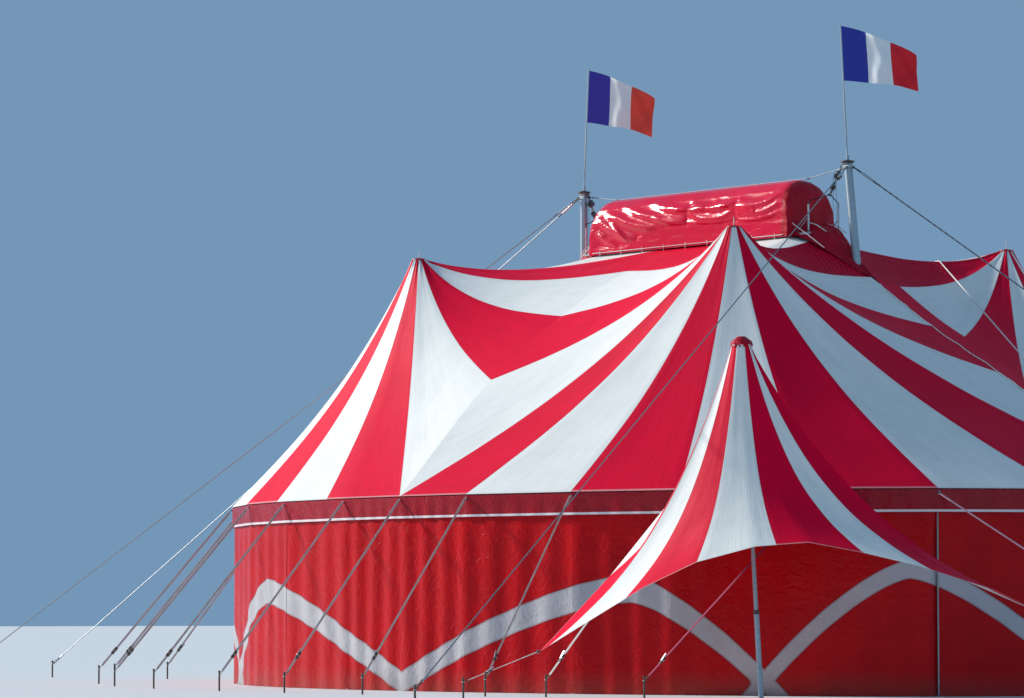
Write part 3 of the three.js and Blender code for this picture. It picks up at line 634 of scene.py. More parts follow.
def fan_sheet(name, peak, ring, gores, sag_of, tape_of, row_count, bow, crumple, heart, finishes,
              flip=(1, 1), seed=0, strip=None):
    """Canvas fanned from a peak to an edge path: it hangs below the straight line, each gore
    bows in between its seams, and creases run out from the peak. tape_of gives the width of the
    webbing at a place on the edge, strip that of a red strip along the laced edge."""
    columns = []
    for number, (path, tone, count) in enumerate(gores):
        length = sum((b - a).length for a, b in zip(path, path[1:]))
        places = enumerate(split(path, count))
        columns += [(p, i / count, tone, length, number + i / count) for i, p in places]

    def spot(r, c):
        p, f, _, width, order = columns[c]
        t = (r / row_count) ** 1.5      # rows are closer near the peak
        hang = ((1 - t) - (1 - t) ** 3) / MOST_SAG
        reach = math.hypot(p.x - peak.x, p.y - peak.y)
        s = ring / reach + (1 - ring / reach) * t
        x, y = peak.x + (p.x - peak.x) * s, peak.y + (p.y - peak.y) * s
        z = peak.z * (1 - t) + p.z * t - sag_of(p) * hang
        hollow = 4 * f * (1 - f) * bow * (t * (1 - t)) ** 0.5 * 2 * min(1, width / GORE_WIDE)
        creases = crumple(t, order, math.atan2(p.y - peak.y, p.x - peak.x), x, y, seed)
        still = min(1, (1 - t) * 14)
        place = Vector((x * flip[0], y * flip[1], z - hollow * still + creases * still))
        hem = (p - peak).length * (1 - t) / tape_of(p)
        border = y / strip if strip and x > STRIP_FROM else FAR
        return place, (order * GORE_WIDE, t * FAN_LONG), min(f, 1 - f) * width * s, hem, border

    rows, uvs, *marks = grid(row_count, len(columns) - 1, spot)
    for uv in uvs:      # the far side of the last column, where the sheet closes on itself
        uv.append((len(gores) * GORE_WIDE, uv[0][1]))
    marks = dict(zip(("seam", "hem", "border"), marks))
    return make_sheet(name, rows, uvs, finishes, heart, marks, [column[2] for column in columns], closed=True)


def roof_creases(t, gore, angle, x, y, seed):
    """Gathers under the cap and long creases down the gores."""
    fold = math.sin(angle * 23 + seed) * 0.02 * math.exp(-t * 16)
    long_creases = ruffle(gore * 2.6, t * 1.1, 0, seed) * 0.01 * (1 - t) ** 0.4
    return (fold + long_creases + ruffle(x * 1.4, y * 1.4, 3, seed) * 0.006
            + ruffle(x * 4, y * 4, 5, seed) * 0.002)


def roof_sag(p):
    return 0.31 + 0.26 * (RIM_Z - p.z) / (RIM_Z - EAVE_Z)


def roof_tape(p):
    return 0.06 if p.z < EAVE_Z + 0.001 else 0.0001


FRONT_RIGHT_SEAMS = (0, 1.99, 4.69, 7.13, 9.87, 12.27, 14.71)
LEFT_SEAMS = (0, 2.75, 5.2, 7.55, 9.9, 12.3, 14.71)
LACED_SEAMS = {True: (5.28, 7.44, 9.35), False: (4.98, 6.76, 8.68)}


def roof(canvas):
    """Four quarters; the back right and front left ones have a red strip along their laced edge."""
    pieces = []
    for i, (row, sy) in enumerate(ROWS):
        for j, (end, sx) in enumerate(SIDES):
            heart = Vector((sx * 5, sy * 4, 0))
            edged = sx == sy
            gores = roof_gores(LEFT_SEAMS if sx < 0 else FRONT_RIGHT_SEAMS, LACED_SEAMS[edged])
            piece = fan_sheet(f"roof_canvas_{row}_{end}", PEAK, PEAK_RING, gores, roof_sag, roof_tape,
                              ROOF_ROWS, 0.03, roof_creases, heart, canvas, (sx, sy), i * 2 + j,
                              STRIP_WIDE if edged else None)
            pieces.append(stands_for(piece, f"roof_{row}_{end}", "striped_canvas", flat=(14.0, 11.0),
                                     area=129.0, held="stretched", rests_on=[f"quarter_pole_{row}_{end}"]))
    return pieces


# Arches of the band: crest place and height, the two feet, their height, thickness at crest and feet.
ARCHES = ((6.01, 2.36, 0.25, 8.84, 0.51, 0.55, 0.47), (11.72, 2.63, 8.84, 15.2, 0.51, 0.36, 0.45),
          (17.45, 1.9, 15.2, 19.7, 0.51, 0.42, 0.45))


def band_at(arc, z):
    """How far a place on the wall lies inside the white band of arches, below zero outside it."""
    best = -FAR
    for crest, top, left, right, foot, thick, thick_foot in ARCHES:
        reach = crest - left if arc < crest else right - crest
        u = abs(arc - crest) / reach
        if u > 1.25:
            continue
        upper = top - (top - foot) * u ** 1.45
        lower = upper - thick - (thick_foot - thick) * u
        best = max(best, min(upper - z, z - lower) / (1 + 0.7 * u))
    return best


WALLS = (("front", -2, 2), ("front_right", 2, 4), ("entrance_left", 4, 5), ("entrance_right", 5, 6),
         ("right", 6, 9), ("back_right", 9, 12), ("back", 12, 16), ("back_left", 16, 19), ("left", 19, 23),
         ("front_left", 23, 26))
SPAN_GAP = 0.0001           # share of a span left open at each end of a length of cloth
CURTAIN_FOOT, PELMET_TOP = 0.004, 4.0
VALANCES = (("front", -3, 3), ("right", 3, 11), ("back", 11, 17), ("left", 17, 25))


def hung_cloth(name, start, stop, low, high, depth, per_span, row_count, finish):
    """Cloth hung from the eave rail between two corners; depth gives how far out a point lies."""
    steps = (stop - start) * per_span

    def spot(r, c):
        z = low + (high - low) * r / row_count
        at = min(max(start + (stop - start) * c / steps, start + SPAN_GAP), stop - SPAN_GAP)
        return round_eave(at, depth(at, z), z), (at * 2.5, z), band_at(quarter_arc(at), z), z - low

    rows, uvs, bands, heights = grid(row_count, steps, spot)
    return make_sheet(name, rows, uvs, [finish], up(2), {"band": bands, "high": heights})


def wall_depth(at, z):
    """Curtain folds: straight at the rail, deeper below; at corner 5 one curtain tucks in behind
    the other at the way in."""
    loose = min(1, (WALL_TOP - z) / 0.8)
    fold = 0.018 * math.sin(at * 2 * math.pi * 3.5 + 1.2 * ruffle(at * 1.1, z * 0.3, 0, 3))
    drift = 0.02 * ruffle(at * 1.7, z * 0.5, 1, 4)
    tuck = 0.16 * max(0, 1 - (5 - at) / 0.045) * loose if 4.9 < at < 5 else 0
    return -0.062 + loose * (fold + drift) - tuck


def valance_depth(at, z):
    """Valance: straight at the canvas edge, softly rippled below."""
    loose = min(1, max(0, (PELMET_TOP - z) / 0.35))
    wave = 0.009 * math.sin(at * 2 * math.pi * 5 + 2 * ruffle(at * 0.9, 0, 2, 6))
    return -0.012 + loose * (wave + 0.012 * ruffle(at * 4, z, 2, 5))


def hangings(curtain, strip):
    for name, start, stop in WALLS:
        piece = hung_cloth(f"curtain_{name}", start, stop, CURTAIN_FOOT, WALL_TOP, wall_depth, 34, 40,
                           curtain)
        stands_for(piece, f"wall_{name}", "wall_vinyl", flat=(span_length(start, stop), 3.95), held="hung")
    for name, start, stop in VALANCES:
        piece = hung_cloth(f"pelmet_{name}", start, stop, VALANCE_LOW, PELMET_TOP, valance_depth, 40, 9,
                           strip)
        stands_for(piece, f"valance_{name}", "striped_canvas", flat=(span_length(start, stop), 0.45),
                   held="hung")


def span_length(start, stop):
    """Length of the eave from corner to corner, to the centimetre."""
    return round(sum((RING[(k + 1) % ROUND] - RING[k % ROUND]).length for k in range(start, stop)), 2)


# Cupola

ARCH = ((1, 0.0), (1, 0.4), (0.95, 0.62), (0.8, 0.8), (0.55, 0.93), (0.25, 0.99), (0, 1.0))
# Folds on the cupola's side: from x, z to x, z, then height, width and droop.
CUPOLA_FOLDS = (
    (-2.95, 10.5, -1.6, 9.95, 0.09, 0.1, 0.05), (-2.75, 10.68, -0.7, 10.12, 0.1, 0.11, 0.08),
    (-2.2, 10.8, 0.0, 10.32, 0.09, 0.1, 0.1), (-1.3, 10.82, 0.05, 10.56, 0.08, 0.09, 0.1),
    (-2.98, 10.22, -2.2, 9.85, 0.06, 0.07, 0.02),
    (0.05, 10.7, 1.55, 10.6, 0.09, 0.1, 0.16), (0.05, 10.46, 1.55, 10.4, 0.08, 0.08, 0.16),
    (1.55, 10.62, 3.0, 10.76, 0.09, 0.1, 0.2), (1.55, 10.4, 3.0, 10.52, 0.08, 0.08, 0.18),
    (0.05, 10.25, 1.6, 10.22, 0.06, 0.06, 0.08), (1.6, 10.2, 3.0, 10.3, 0.06, 0.06, 0.1),
    (-2.5, 10.45, -1.9, 9.98, 0.05, 0.05, 0.0), (-0.9, 10.72, 0.6, 10.5, 0.06, 0.07, 0.05),
    (0.8, 10.6, 2.2, 10.35, 0.06, 0.07, -0.03), (-1.0, 10.4, 0.0, 10.2, 0.05, 0.06, 0.03))
# Height up to which the side is smooth, along x.
CUPOLA_SMOOTH = ((-3.2, 9.8), (-1.9, 9.84), (-1.1, 10.1), (0.0, 10.12), (1.6, 10.06), (3.2, 9.98))


def fold_height(px, pz, mirror):
    """Height of the modelled folds on the cupola's side: each is a ridge along a hanging line."""
    total, x = 0.0, -px if mirror else px
    for x0, z0, x1, z1, amount, width, droop in CUPOLA_FOLDS:
        u = (x - x0) / (x1 - x0)
        if 0 < u < 1:
            line = z0 + (z1 - z0) * u - droop * 4 * u * (1 - u) + 0.03 * ruffle(u * 3, z0 * 4, x0, 2)
            gap = (pz - line) / width
            if abs(gap) < 3:
                total += amount * math.exp(-gap * gap) * math.sin(math.pi * u) ** 0.4
    return total


def cupola_cover(finishes):
    """Loaf of glossy vinyl over hoops: one sheet with rounded ends. Folds hang on its sides above
    a smooth lower band; past the last hoop on the right it is dull and gathered, and painted darker
    as shade."""
    arch = []
    for i in range(len(ARCH) - 1):
        (y0, z0), (y1, z1) = ARCH[i], ARCH[i + 1]
        parts = 22 if i == 0 else 8
        arch += [(y0 + (y1 - y0) * j / parts, z0 + (z1 - z0) * j / parts) for j in range(parts)]
    arch = arch + [(0, 1.0)] + [(-y, z) for y, z in reversed(arch)]
    stations = [(-1, i * 0.1) for i in range(8)] + [(-0.997, 0.78), (-0.985, 0.88), (-0.97, 0.93),
                                                    (-0.94, 0.975)]
    stations += [(-0.9 + 1.8 * i / 150, 1.0) for i in range(151)]
    stations += [(-x, s) for x, s in reversed(stations[:12])]

    def spot(i, j):
        (share, size), (y, z) = stations[i], arch[j]
        px = CUPOLA_HALF * share
        py = CUPOLA_SIDE * y * (size if size < 0.7 else 1)
        pz = CUPOLA_BASE + CUPOLA_RISE * z * size
        out, bunch = 0.0, 0.0
        if abs(share) < 0.97 and 0 < z < 0.9:
            above = pz - through(CUPOLA_SMOOTH, px if y < 0 else -px)
            calm = min(1, (0.9 - z) * 5) * min(1, (0.97 - abs(share)) * 25) * min(1, max(0, above / 0.1))
            fine = 0.006 * ruffle(px * 2 + pz * 3, pz * 4, py, 2)
            out = (fold_height(px, pz, y > 0) * 0.75 + fine - 0.02) * calm
        if abs(share) > 0.95:
            bunch = 0.02 * ruffle(py * 5 + pz, pz * 1.3, share * 3, 4) * min(1, z * 5)
            out = bunch * 0.6
        if z < 0.02:
            out, pz = 0.004, pz - 0.03
        place = Vector((px + (bunch if size < 0.9 else 0), py + out * y, pz + out * 0.4 * (1 - abs(y))))
        return place, (px, j * 0.06)

    rows, uvs = grid(len(stations) - 1, len(arch) - 1, spot)
    piece = make_sheet("cupola_vinyl", rows, uvs, finishes, up(10))
    # Painted shade: faces past x = 3 m, on the right end only, take the darker dull vinyl.
    for face in piece.data.polygons:
        face.material_index = 1 if face.center.x > 3.0 else 0
    stands_for(piece, "cupola_cover", "red_vinyl", flat=(8.2, 4.1), area=28.0, held="stretched",
               rests_on=["cupola_frame"])


# The skirts along x: height of their ridge, half width, and height of their edge.
SKIRT_LINE = ((3.18, 9.93), (3.45, 9.97), (3.75, 9.93), (4.0, 9.78), (4.2, 9.5), (4.45, 9.2), (4.75, 8.94),
              (4.98, 8.78))
SKIRT_WIDE = ((3.18, 0.55), (3.45, 0.5), (3.75, 0.44), (4.0, 0.38), (4.2, 0.33), (4.45, 0.27), (4.75, 0.17),
              (4.98, 0.05))
SKIRT_EDGE = ((3.18, 9.74),) + SLIT_EDGE[:4]
SKIRT_ROWS, SKIRT_HALF = 70, 28


def cupola_skirts(vinyl):
    """Tongue of bunched vinyl from the cupola's end down to the mast's slit, humped across."""
    for end, side in SIDES:
        def spot(i, j):
            x = SKIRT_LINE[0][0] + (SKIRT_LINE[-1][0] - SKIRT_LINE[0][0]) * (i / SKIRT_ROWS)
            wide, ridge = through(SKIRT_WIDE, x), through(SKIRT_LINE, x)
            edge = through(SKIRT_EDGE, x) + 0.02
            v = j / SKIRT_HALF - 1
            hump = (1 - abs(v) ** 2.4) ** 0.8
            fold = 0.035 * math.sin(v * 15 + x * 2.2 + 2.5 * ruffle(x * 1.5, v, 0, 8)) * min(1, i / 6) * hump
            loose = 0.02 * ruffle(x * 3, v * 2, 4, 8) * hump
            high = edge + max(0.01, ridge - edge) * hump + fold + loose
            return Vector((side * x, wide * v, high)), (x, wide * v)

        rows, uvs = grid(SKIRT_ROWS, 2 * SKIRT_HALF, spot)
        piece = make_sheet(f"skirt_{end}", rows, uvs, [vinyl], Vector((side * 4, 0, 0)))
        stands_for(piece, f"cupola_skirt_{end}", "red_vinyl", flat=(2.5, 1.3), area=2.2, held="draped",
                   rests_on=["cupola_frame"])


# Flags

def flags(fresh, faded):
    """Tricolours in a fresh breeze: the fly droops, and ripples run down from the upper hoist."""
    wind = Vector((math.cos(math.pi / 8), math.sin(math.pi / 8), 0))
    aside = Vector((-wind.y, wind.x, 0))
    for end, cloth, low_drop, share in (("left", faded, 0.4, 0.9), ("right", fresh, 0.3, 0.94)):
        foot = Vector((MAST_X[end][0], 0, MAST_TOP))
        tip = Vector((foot.x + STAFF_TIP[end], 0, MAST_TOP + STAFF_LONG[end]))

        def spot(i, j):
            u, v = i / FLAG_ROWS, j / FLAG_COLUMNS
            wave = math.sin(u * 9) * 0.09 * u + 0.025 * math.sin(u * 21 + 1) * u
            p = tip.lerp(foot, 0.02 + v * FLAG_HIGH / STAFF_LONG[end])
            ripple = 0.035 * math.sin(u * 13 + v * 6) * u + 0.02 * math.sin(u * 27 - v * 9) * u * u
            p = p + wind * (0.019 + u * FLAG_LONG * share) + aside * (wave + ripple)
            drop = 0.74 + (low_drop - 0.74) * v
            p.z += -drop * (0.6 * u + 0.4 * u * u) + 0.025 * math.sin(u * 9 + v * 2) * u
            return p, (u * FLAG_LONG, v * FLAG_HIGH)

        rows, uvs = grid(FLAG_ROWS, FLAG_COLUMNS, spot)
        piece = make_sheet(f"tricolour_{end}", rows, uvs, [cloth], foot + wind - aside * 5, thick=0.0015)
        stands_for(piece, f"flag_{end}", "flag_cloth", flat=(FLAG_LONG, FLAG_HIGH), held="hung")


# Porch

def porch(canvas):
    """Peaked porch sail: gores as sewn, the front hem lifted in a long curve."""
    ties = [corner(4, 0.09, 3.99), corner(3, 0.09, 3.99)]
    front = [Vector(p) for p in PORCH_FRONT]
    right_middle, left_middle = Vector((12.95, -7.0, 2.56)), Vector((7.55, -9.9, 2.32))
    edge = PORCH_LEFT.lerp(front[0], 0.16)
    first = front[0].lerp(front[1], 0.6)
    middle = front[3].lerp(front[4], 0.4)
    last = front[6].lerp(front[7], 0.15)
    gores = [
        ([edge, front[0], first], WHITE, 13),
        ([first, front[1], front[2]], RED, 8),
        ([front[2], front[3], middle], WHITE, 10),
        ([middle, front[4], front[5]], RED, 10),
        ([front[5], front[6], last], WHITE, 10),
        ([last, front[7], PORCH_RIGHT], RED, 10),
        ([PORCH_RIGHT, right_middle], WHITE, 8),
        ([right_middle, ties[0]], RED, 8),
        ([ties[0], ties[1]], WHITE, 8),
        ([ties[1], left_middle], WHITE, 8),
        ([left_middle, PORCH_LEFT, edge], RED, 12),
    ]

    def sag(p):
        return 0.3 + 0.13 * (PORCH_PEAK.z - p.z)

    def creases(t, gore, angle, x, y, seed):
        fold = math.sin(angle * 15) * 0.018 * math.exp(-t * 8)
        if 1.8 < gore < 3:
            fold += math.sin(angle * 40 + t * 9) * 0.008 * math.exp(-((t - 0.3) / 0.3) ** 2)
        return fold + ruffle(gore * 3, t * 1.3, 0, 9) * 0.018 + ruffle(x * 2, y * 2, 3, 9) * 0.01

    piece = fan_sheet("porch_sail", PORCH_PEAK, 0.195, gores, sag, lambda p: 0.04, 34, 0.05, creases,
                      Vector((11, -9.3, -4)), canvas)
    stands_for(piece, "porch_canopy", "striped_canvas", flat=(9.0, 6.5), area=44.0, held="stretched",
               rests_on=["porch_pole"])


# Shaping rigid parts

def pick(*parts):
    bpy.ops.object.select_all(action="DESELECT")
    for part in parts:
        part.select_set(True)
    bpy.context.view_layer.objects.active = parts[0]


def edit(part, keep, *steps):
    """Edit mode on the faces that keep picks; each step is an operator and its settings."""
    mesh = part.data
    mesh.vertices.foreach_set("select", [False] * len(mesh.vertices))
    mesh.edges.foreach_set("select", [False] * len(mesh.edges))
    mesh.polygons.foreach_set("select", [bool(keep(face)) for face in mesh.polygons])
    pick(part)
    bpy.context.tool_settings.mesh_select_mode = (False, False, True)
    bpy.ops.object.mode_set(mode="EDIT")
    for operator, settings in steps:
        operator(**settings)
    bpy.ops.object.mode_set(mode="OBJECT")


def every(face):
    return True


def upper(face):
    return face.normal.z > 0.9


def ends(face):
    return abs(face.normal.z) > 0.9


def rounded(part, keep, offset):
    """Takes the sharpness off the edges of the faces that keep picks."""
    edit(part, keep, (bpy.ops.mesh.bevel, {"offset": offset, "offset_type": "OFFSET", "affect": "EDGES"}))


def turned(x, y, z):
    """Matrix that turns the three axes to these directions."""
    return Matrix((x, y, z)).transposed().to_4x4()


def lay(part, low, high):
    """Carries a part made upright round the origin to the line between two points."""
    turn = (high - low).to_track_quat("Z", "Y").to_matrix().to_4x4()
    part.data.transform(Matrix.Translation((low + high) / 2) @ turn)
    return part


def round_bar(finish, low, high, radius, sides=12, top=None):
    """Round bar between two points, its ends chamfered; top is the radius at high if it tapers."""
    low, high = Vector(low), Vector(high)
    bpy.ops.object.select_all(action="DESELECT")
    bpy.ops.mesh.primitive_cone_add(vertices=sides, radius1=radius, radius2=top or radius,
                                    depth=(high - low).length)
    part = bpy.context.object
    rounded(part, ends, min(radius, top or radius) * 0.22)
    part.data.materials.append(finish)
    return lay(part, low, high)


def block(finish, low, high, ease=0.004):
    """Box between two corners, its edges eased."""
    low, high = Vector(low), Vector(high)
    bpy.ops.object.select_all(action="DESELECT")
    bpy.ops.mesh.primitive_cube_add(size=1)
    part = bpy.context.object
    part.data.transform(Matrix.Translation((low + high) / 2) @ Matrix.Diagonal((*(high - low), 1)))
    rounded(part, every, ease)
    part.data.materials.append(finish)
    return part


def across(along, upright):
    """Square to a direction: level, or upright as far as it goes."""
    level = Vector((-along.y, along.x, 0)).normalized()
    return along.cross(level) if upright else level


def flat_bar(finish, low, high, wide, thick, upright=False):
    """Flat bar between two points, its broad faces turned up, or to the side when upright."""
    low, high = Vector(low), Vector(high)
    along = (high - low).normalized()
    side = across(along, upright)
    half = (high - low).length / 2
    part = block(finish, (-half, -wide / 2, -thick / 2), (half, wide / 2, thick / 2), thick * 0.25)
    part.data.transform(Matrix.Translation((low + high) / 2) @ turned(along, side, along.cross(side)))
    return part


def ring(finish, at, axis, radius, thick, long=1.0, rounds=14):
    """Ring or link: a turned ring, drawn out to long times its width."""
    bpy.ops.object.select_all(action="DESELECT")
    bpy.ops.mesh.primitive_torus_add(major_radius=radius, minor_radius=thick, major_segments=rounds,
                                     minor_segments=5)
    part = bpy.context.object
    edit(part, every, (bpy.ops.transform.resize, {"value": (long, 1, 1)}))
    part.data.materials.append(finish)
    at, axis = Vector(at), Vector(axis).normalized()
    part.data.transform(Matrix.Translation(at) @ axis.to_track_quat("Z", "X").to_matrix().to_4x4())
    return part


def link(finish, at, along, eye, radius, thick, long):
    """Chain link at a place: along is its long way, eye is the way its hole faces."""
    part = ring(finish, (0, 0, 0), (0, 0, 1), radius, thick, long, 10)
    along, eye = Vector(along).normalized(), Vector(eye)
    eye = (eye - along * eye.dot(along)).normalized()
    part.data.transform(Matrix.Translation(Vector(at)) @ turned(along, eye.cross(along), eye))
    return part


def chain(finish, low, high, radius, thick):
    """Links from one point to another, each turned a quarter from the last."""
    low, high = Vector(low), Vector(high)
    count = max(2, round((high - low).length / (radius * 3.0)))
    along = (high - low).normalized()
    side = Vector((-along.y, along.x, 0.001)).normalized()
    ways = (side, along.cross(side))
    return [link(finish, low.lerp(high, (i + 0.5) / count), along, ways[i % 2], radius, thick, 1.75)
            for i in range(count)]


def rope(finish, points, radius, fine=1):
    """Rope or cable along a line of points, made a closed mesh."""
    curve = bpy.data.curves.new("rope", "CURVE")
    curve.dimensions = "3D"
    curve.bevel_depth = radius
    curve.bevel_resolution = fine
    curve.use_fill_caps = True
    line = curve.splines.new("POLY")
    line.points.add(len(points) - 1)
    for spot, p in zip(line.points, points):
        spot.co = (*p, 1)
    part = bpy.data.objects.new("rope", curve)
    bpy.context.collection.objects.link(part)
    pick(part)
    bpy.ops.object.convert(target="MESH")
    part = bpy.context.object
    part.data.materials.clear()
    part.data.materials.append(finish)
    return part


def again(part, matrix):
    """A copy with its own mesh, moved, turned or mirrored."""
    twin = part.copy()
    twin.data = part.data.copy()
    twin.data.transform(matrix)
    if matrix.determinant() < 0:
        twin.data.flip_normals()
    bpy.context.collection.objects.link(twin)
    return twin


def all_again(parts, matrix):
    return [again(part, matrix) for part in parts]


def scrap(parts):
    for part in parts:
        bpy.data.objects.remove(part)


def built(name, parts, node):
    """Joins the parts into one piece that takes the place of a CAD node."""
    pick(*parts)
    bpy.ops.object.join()
    piece = bpy.context.object
    piece.name = name
    bpy.ops.object.shade_smooth_by_angle(angle=math.radians(35))
    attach(piece, "root")
    if node:
        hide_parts(node)
    return piece


def capped(part, ease, rise):
    """Raises the middle of a part's top face."""
    edit(part, upper, (bpy.ops.mesh.inset, {"thickness": ease}),
         (bpy.ops.transform.translate, {"value": (0, 0, rise)}))
    return part


def about(finish, middle, way, radius, sides):
    """Round bar from way before a place to way beyond it."""
    return round_bar(finish, middle - way, middle + way, radius, sides)


def bars(start, way, *spans):
    """Round bars on one line: each is finish, from and to as shares of way, radius, sides, top radius."""
    return [round_bar(finish, start + way * a, start + way * b, *size) for finish, a, b, *size in spans]


def mast_ends(end):
    top_x, foot_x = MAST_X[end]
    return Vector((foot_x, 0, 0)), Vector((top_x, 0, MAST_TOP))


# Masts, staffs and hoists

def masts(zinc, rusty):
    """King poles: bolted flanges at the joints, a gusseted foot, and a head plate."""
    for end, _ in SIDES:
        foot, top = mast_ends(end)
        along = (top - foot).normalized()
        parts = [round_bar(zinc, foot.lerp(top, 0.0012), foot.lerp(top, 0.997), MAST_R, 32)]
        for share in (0.34, 0.67):
            middle = foot.lerp(top, share)
            parts += [about(zinc, middle + along * shift, along * 0.012, 0.15, 24)
                      for shift in (-0.016, 0.016)]
            parts += [about(rusty, middle + compass(i, 8) * 0.122, along * 0.045, 0.011, 6) for i in range(8)]
        parts.append(block(zinc, foot - Vector((0.35, 0.35, 0)), foot + Vector((0.35, 0.35, 0.03))))
        for i in range(4):
            way = compass(i, 4)
            gusset = block(zinc, (0.06, -0.006, 0.03), (0.3, 0.006, 0.26), 0.002)
            edit(gusset, upper, (bpy.ops.transform.resize, {"value": (0.25, 1, 1)}),
                 (bpy.ops.transform.translate, {"value": (-0.09, 0, 0)}))
            gusset.data.transform(Matrix.Translation(foot) @ Matrix.Rotation(i * math.pi / 2, 4, "Z"))
            bolt = foot + Vector((way.x - way.y, way.x + way.y, 0)) * 0.27
            parts += [gusset] + bars(bolt, up(1), (rusty, 0.02, 0.1, 0.022, 6))
        parts += bars(top, up(1), (rusty, -0.04, 0, 0.15, 28), (zinc, -0.1, -0.04, 0.1, 28, 0.13))
        built(f"mast_{end}", parts, f"king_pole_{end}")


def staffs(zinc, rope_white, rusty):
    """Flag staffs in a clamped socket, with a truck and a halyard."""
    for end, _ in SIDES:
        foot = Vector((MAST_X[end][0], 0, MAST_TOP + CLEAR))
        tip = Vector((foot.x + STAFF_TIP[end], 0, MAST_TOP + STAFF_LONG[end]))
        along = (tip - foot).normalized()
        parts = [round_bar(zinc, foot.lerp(tip, 0.002), foot.lerp(tip, 0.5), 0.018),
                 round_bar(zinc, foot.lerp(tip, 0.5), tip, 0.014, 12, 0.01),
                 round_bar(rusty, foot, foot + up(0.012), 0.06, 20),
                 round_bar(zinc, foot + up(0.012), foot + along * 0.12, 0.032, 16)]
        parts += [about(rusty, foot + along * high, Vector((0.045, 0, 0)), 0.007, 6) for high in (0.04, 0.09)]
        parts.append(ring(zinc, tip - along * 0.03, (0, 1, 0), 0.02, 0.004))
        halyard = [tip - along * 0.05 + Vector((0, -0.02, 0)), foot.lerp(tip, 0.55) + Vector((0, -0.03, 0)),
                   foot + along * 0.3 + Vector((0, -0.022, 0))]
        parts.append(rope(rope_white, halyard, 0.004, 0))
        built(f"staff_{end}", parts, f"flag_staff_{end}")


def hoists(paint, rusty, dark):
    """Chain hoists: shackle, body, load chain, hook block, two slings and the long hand chain."""
    for end, side in SIDES:
        head = Vector((MAST_X[end][0] - side * 0.128, 0, MAST_TOP - 0.0403))
        hook = Vector((side * 3.76, 0, 10.6))
        way = (hook - head).normalized()
        flat = Vector((0, 1, 0))

        def at(share):
            return head.lerp(hook, share)

        parts = [block(rusty, head - Vector((0.02, 0.02, 0.05)), head + Vector((0.02, 0.02, 0))),
                 link(rusty, at(0.1) - up(0.01), way, flat, 0.035, 0.01, 1.5)]
        parts += chain(dark, at(0.14), at(0.3), 0.02, 0.006)
        parts += [round_bar(paint, at(0.28), at(0.5), 0.07, 10), about(dark, at(0.4), flat * 0.09, 0.05, 16)]
        parts += chain(dark, at(0.5), at(0.7), 0.02, 0.006)
        parts += [round_bar(paint, at(0.68), at(0.84), 0.05, 10),
                  about(dark, at(0.76), flat * 0.06, 0.035, 16)]
        parts += chain(dark, at(0.84), at(0.97), 0.022, 0.008)
        parts.append(link(rusty, hook, flat, way, 0.04, 0.01, 1.5))
        for sy in (-1, 1):
            eye = Vector((side * 3.57, sy * 0.46, 10.4203))
            parts.append(rope(dark, [hook + flat * sy * 0.03, eye + up(0.045)], 0.011))
            parts.append(ring(rusty, eye + up(0.03), (1, 0, 0), 0.02, 0.006, 1.0, 12))
        for shift in (-0.045, 0.045):
            start = at(0.4) + flat * -0.1 + Vector((shift, 0, 0))
            low = start + Vector((shift * -0.4, 0, -1.15))
            parts.append(rope(dark, [start, start + up(-0.8), low], 0.005, 0))
        built(f"chain_hoist_{end}", parts, f"hoist_{end}")


def stake_parts(rusty, zinc):
    """Steel stake with a mushroomed head and a collar for the strap, made at the origin."""
    steel = bars(up(0), up(1), (rusty, 0, 0.4, 0.02), (rusty, 0.39, 0.42, 0.027, 14, 0.03))
    return steel + [ring(zinc, up(HOOK_Z), up(1), 0.026, 0.006)]


def planted(stake, spot):
    """A copy of the stake at a place on the ground."""
    return all_again(stake, Matrix.Translation((spot[0], spot[1], 0)))


def mast_guys(zinc, cable, rusty):
    """Guy cables: a bolted collar under the head, then shackle, turnbuckle and cable to a stake."""
    stake = stake_parts(rusty, zinc)
    for end, side in SIDES:
        foot, top = mast_ends(end)
        middle = top.lerp(foot, COLLAR_SHARE)
        parts = [block(zinc, middle + Vector((-0.105, y0, -0.035)), middle + Vector((0.105, y1, 0.035)))
                 for y0, y1 in ((-0.1, -0.094), (0.094, 0.105))]
        for sx in (-1, 1):
            parts.append(block(zinc, middle + Vector((0.094 * sx - 0.008, -0.1, -0.035)),
                               middle + Vector((0.094 * sx + 0.008, 0.1, 0.035))))
            parts.append(about(rusty, middle + Vector((0.075 * sx, 0, 0)), Vector((0, 0.125, 0)), 0.01, 6))
        for eye_x, eye_y, x, y in GUY_LINES:
            low = Vector((side * x, side * y, HOOK_Z))
            high = middle + Vector((side * eye_x, side * eye_y, 0))
            way = (low - high).normalized()
            parts.append(link(rusty, high + way * 0.045, way, (0, 0, 1), 0.03, 0.009, 1.6))
            screw = high + way * 0.1
            parts += bars(screw, way, (rusty, 0, 0.16, 0.014, 10), (zinc, 0.14, 0.5, 0.024, 12),
                          (rusty, 0.48, 0.62, 0.014, 10))
            parts.append(rope(cable, [screw + way * 0.6, low - way * 0.3], 0.012))
            parts += bars(low, way, (zinc, -0.42, -0.3, 0.019, 10))
            parts += chain(rusty, low - way * 0.32, low, 0.026, 0.008) + planted(stake, low)
        built(f"guy_set_{end}", parts, f"mast_guys_{end}")
    scrap(stake)


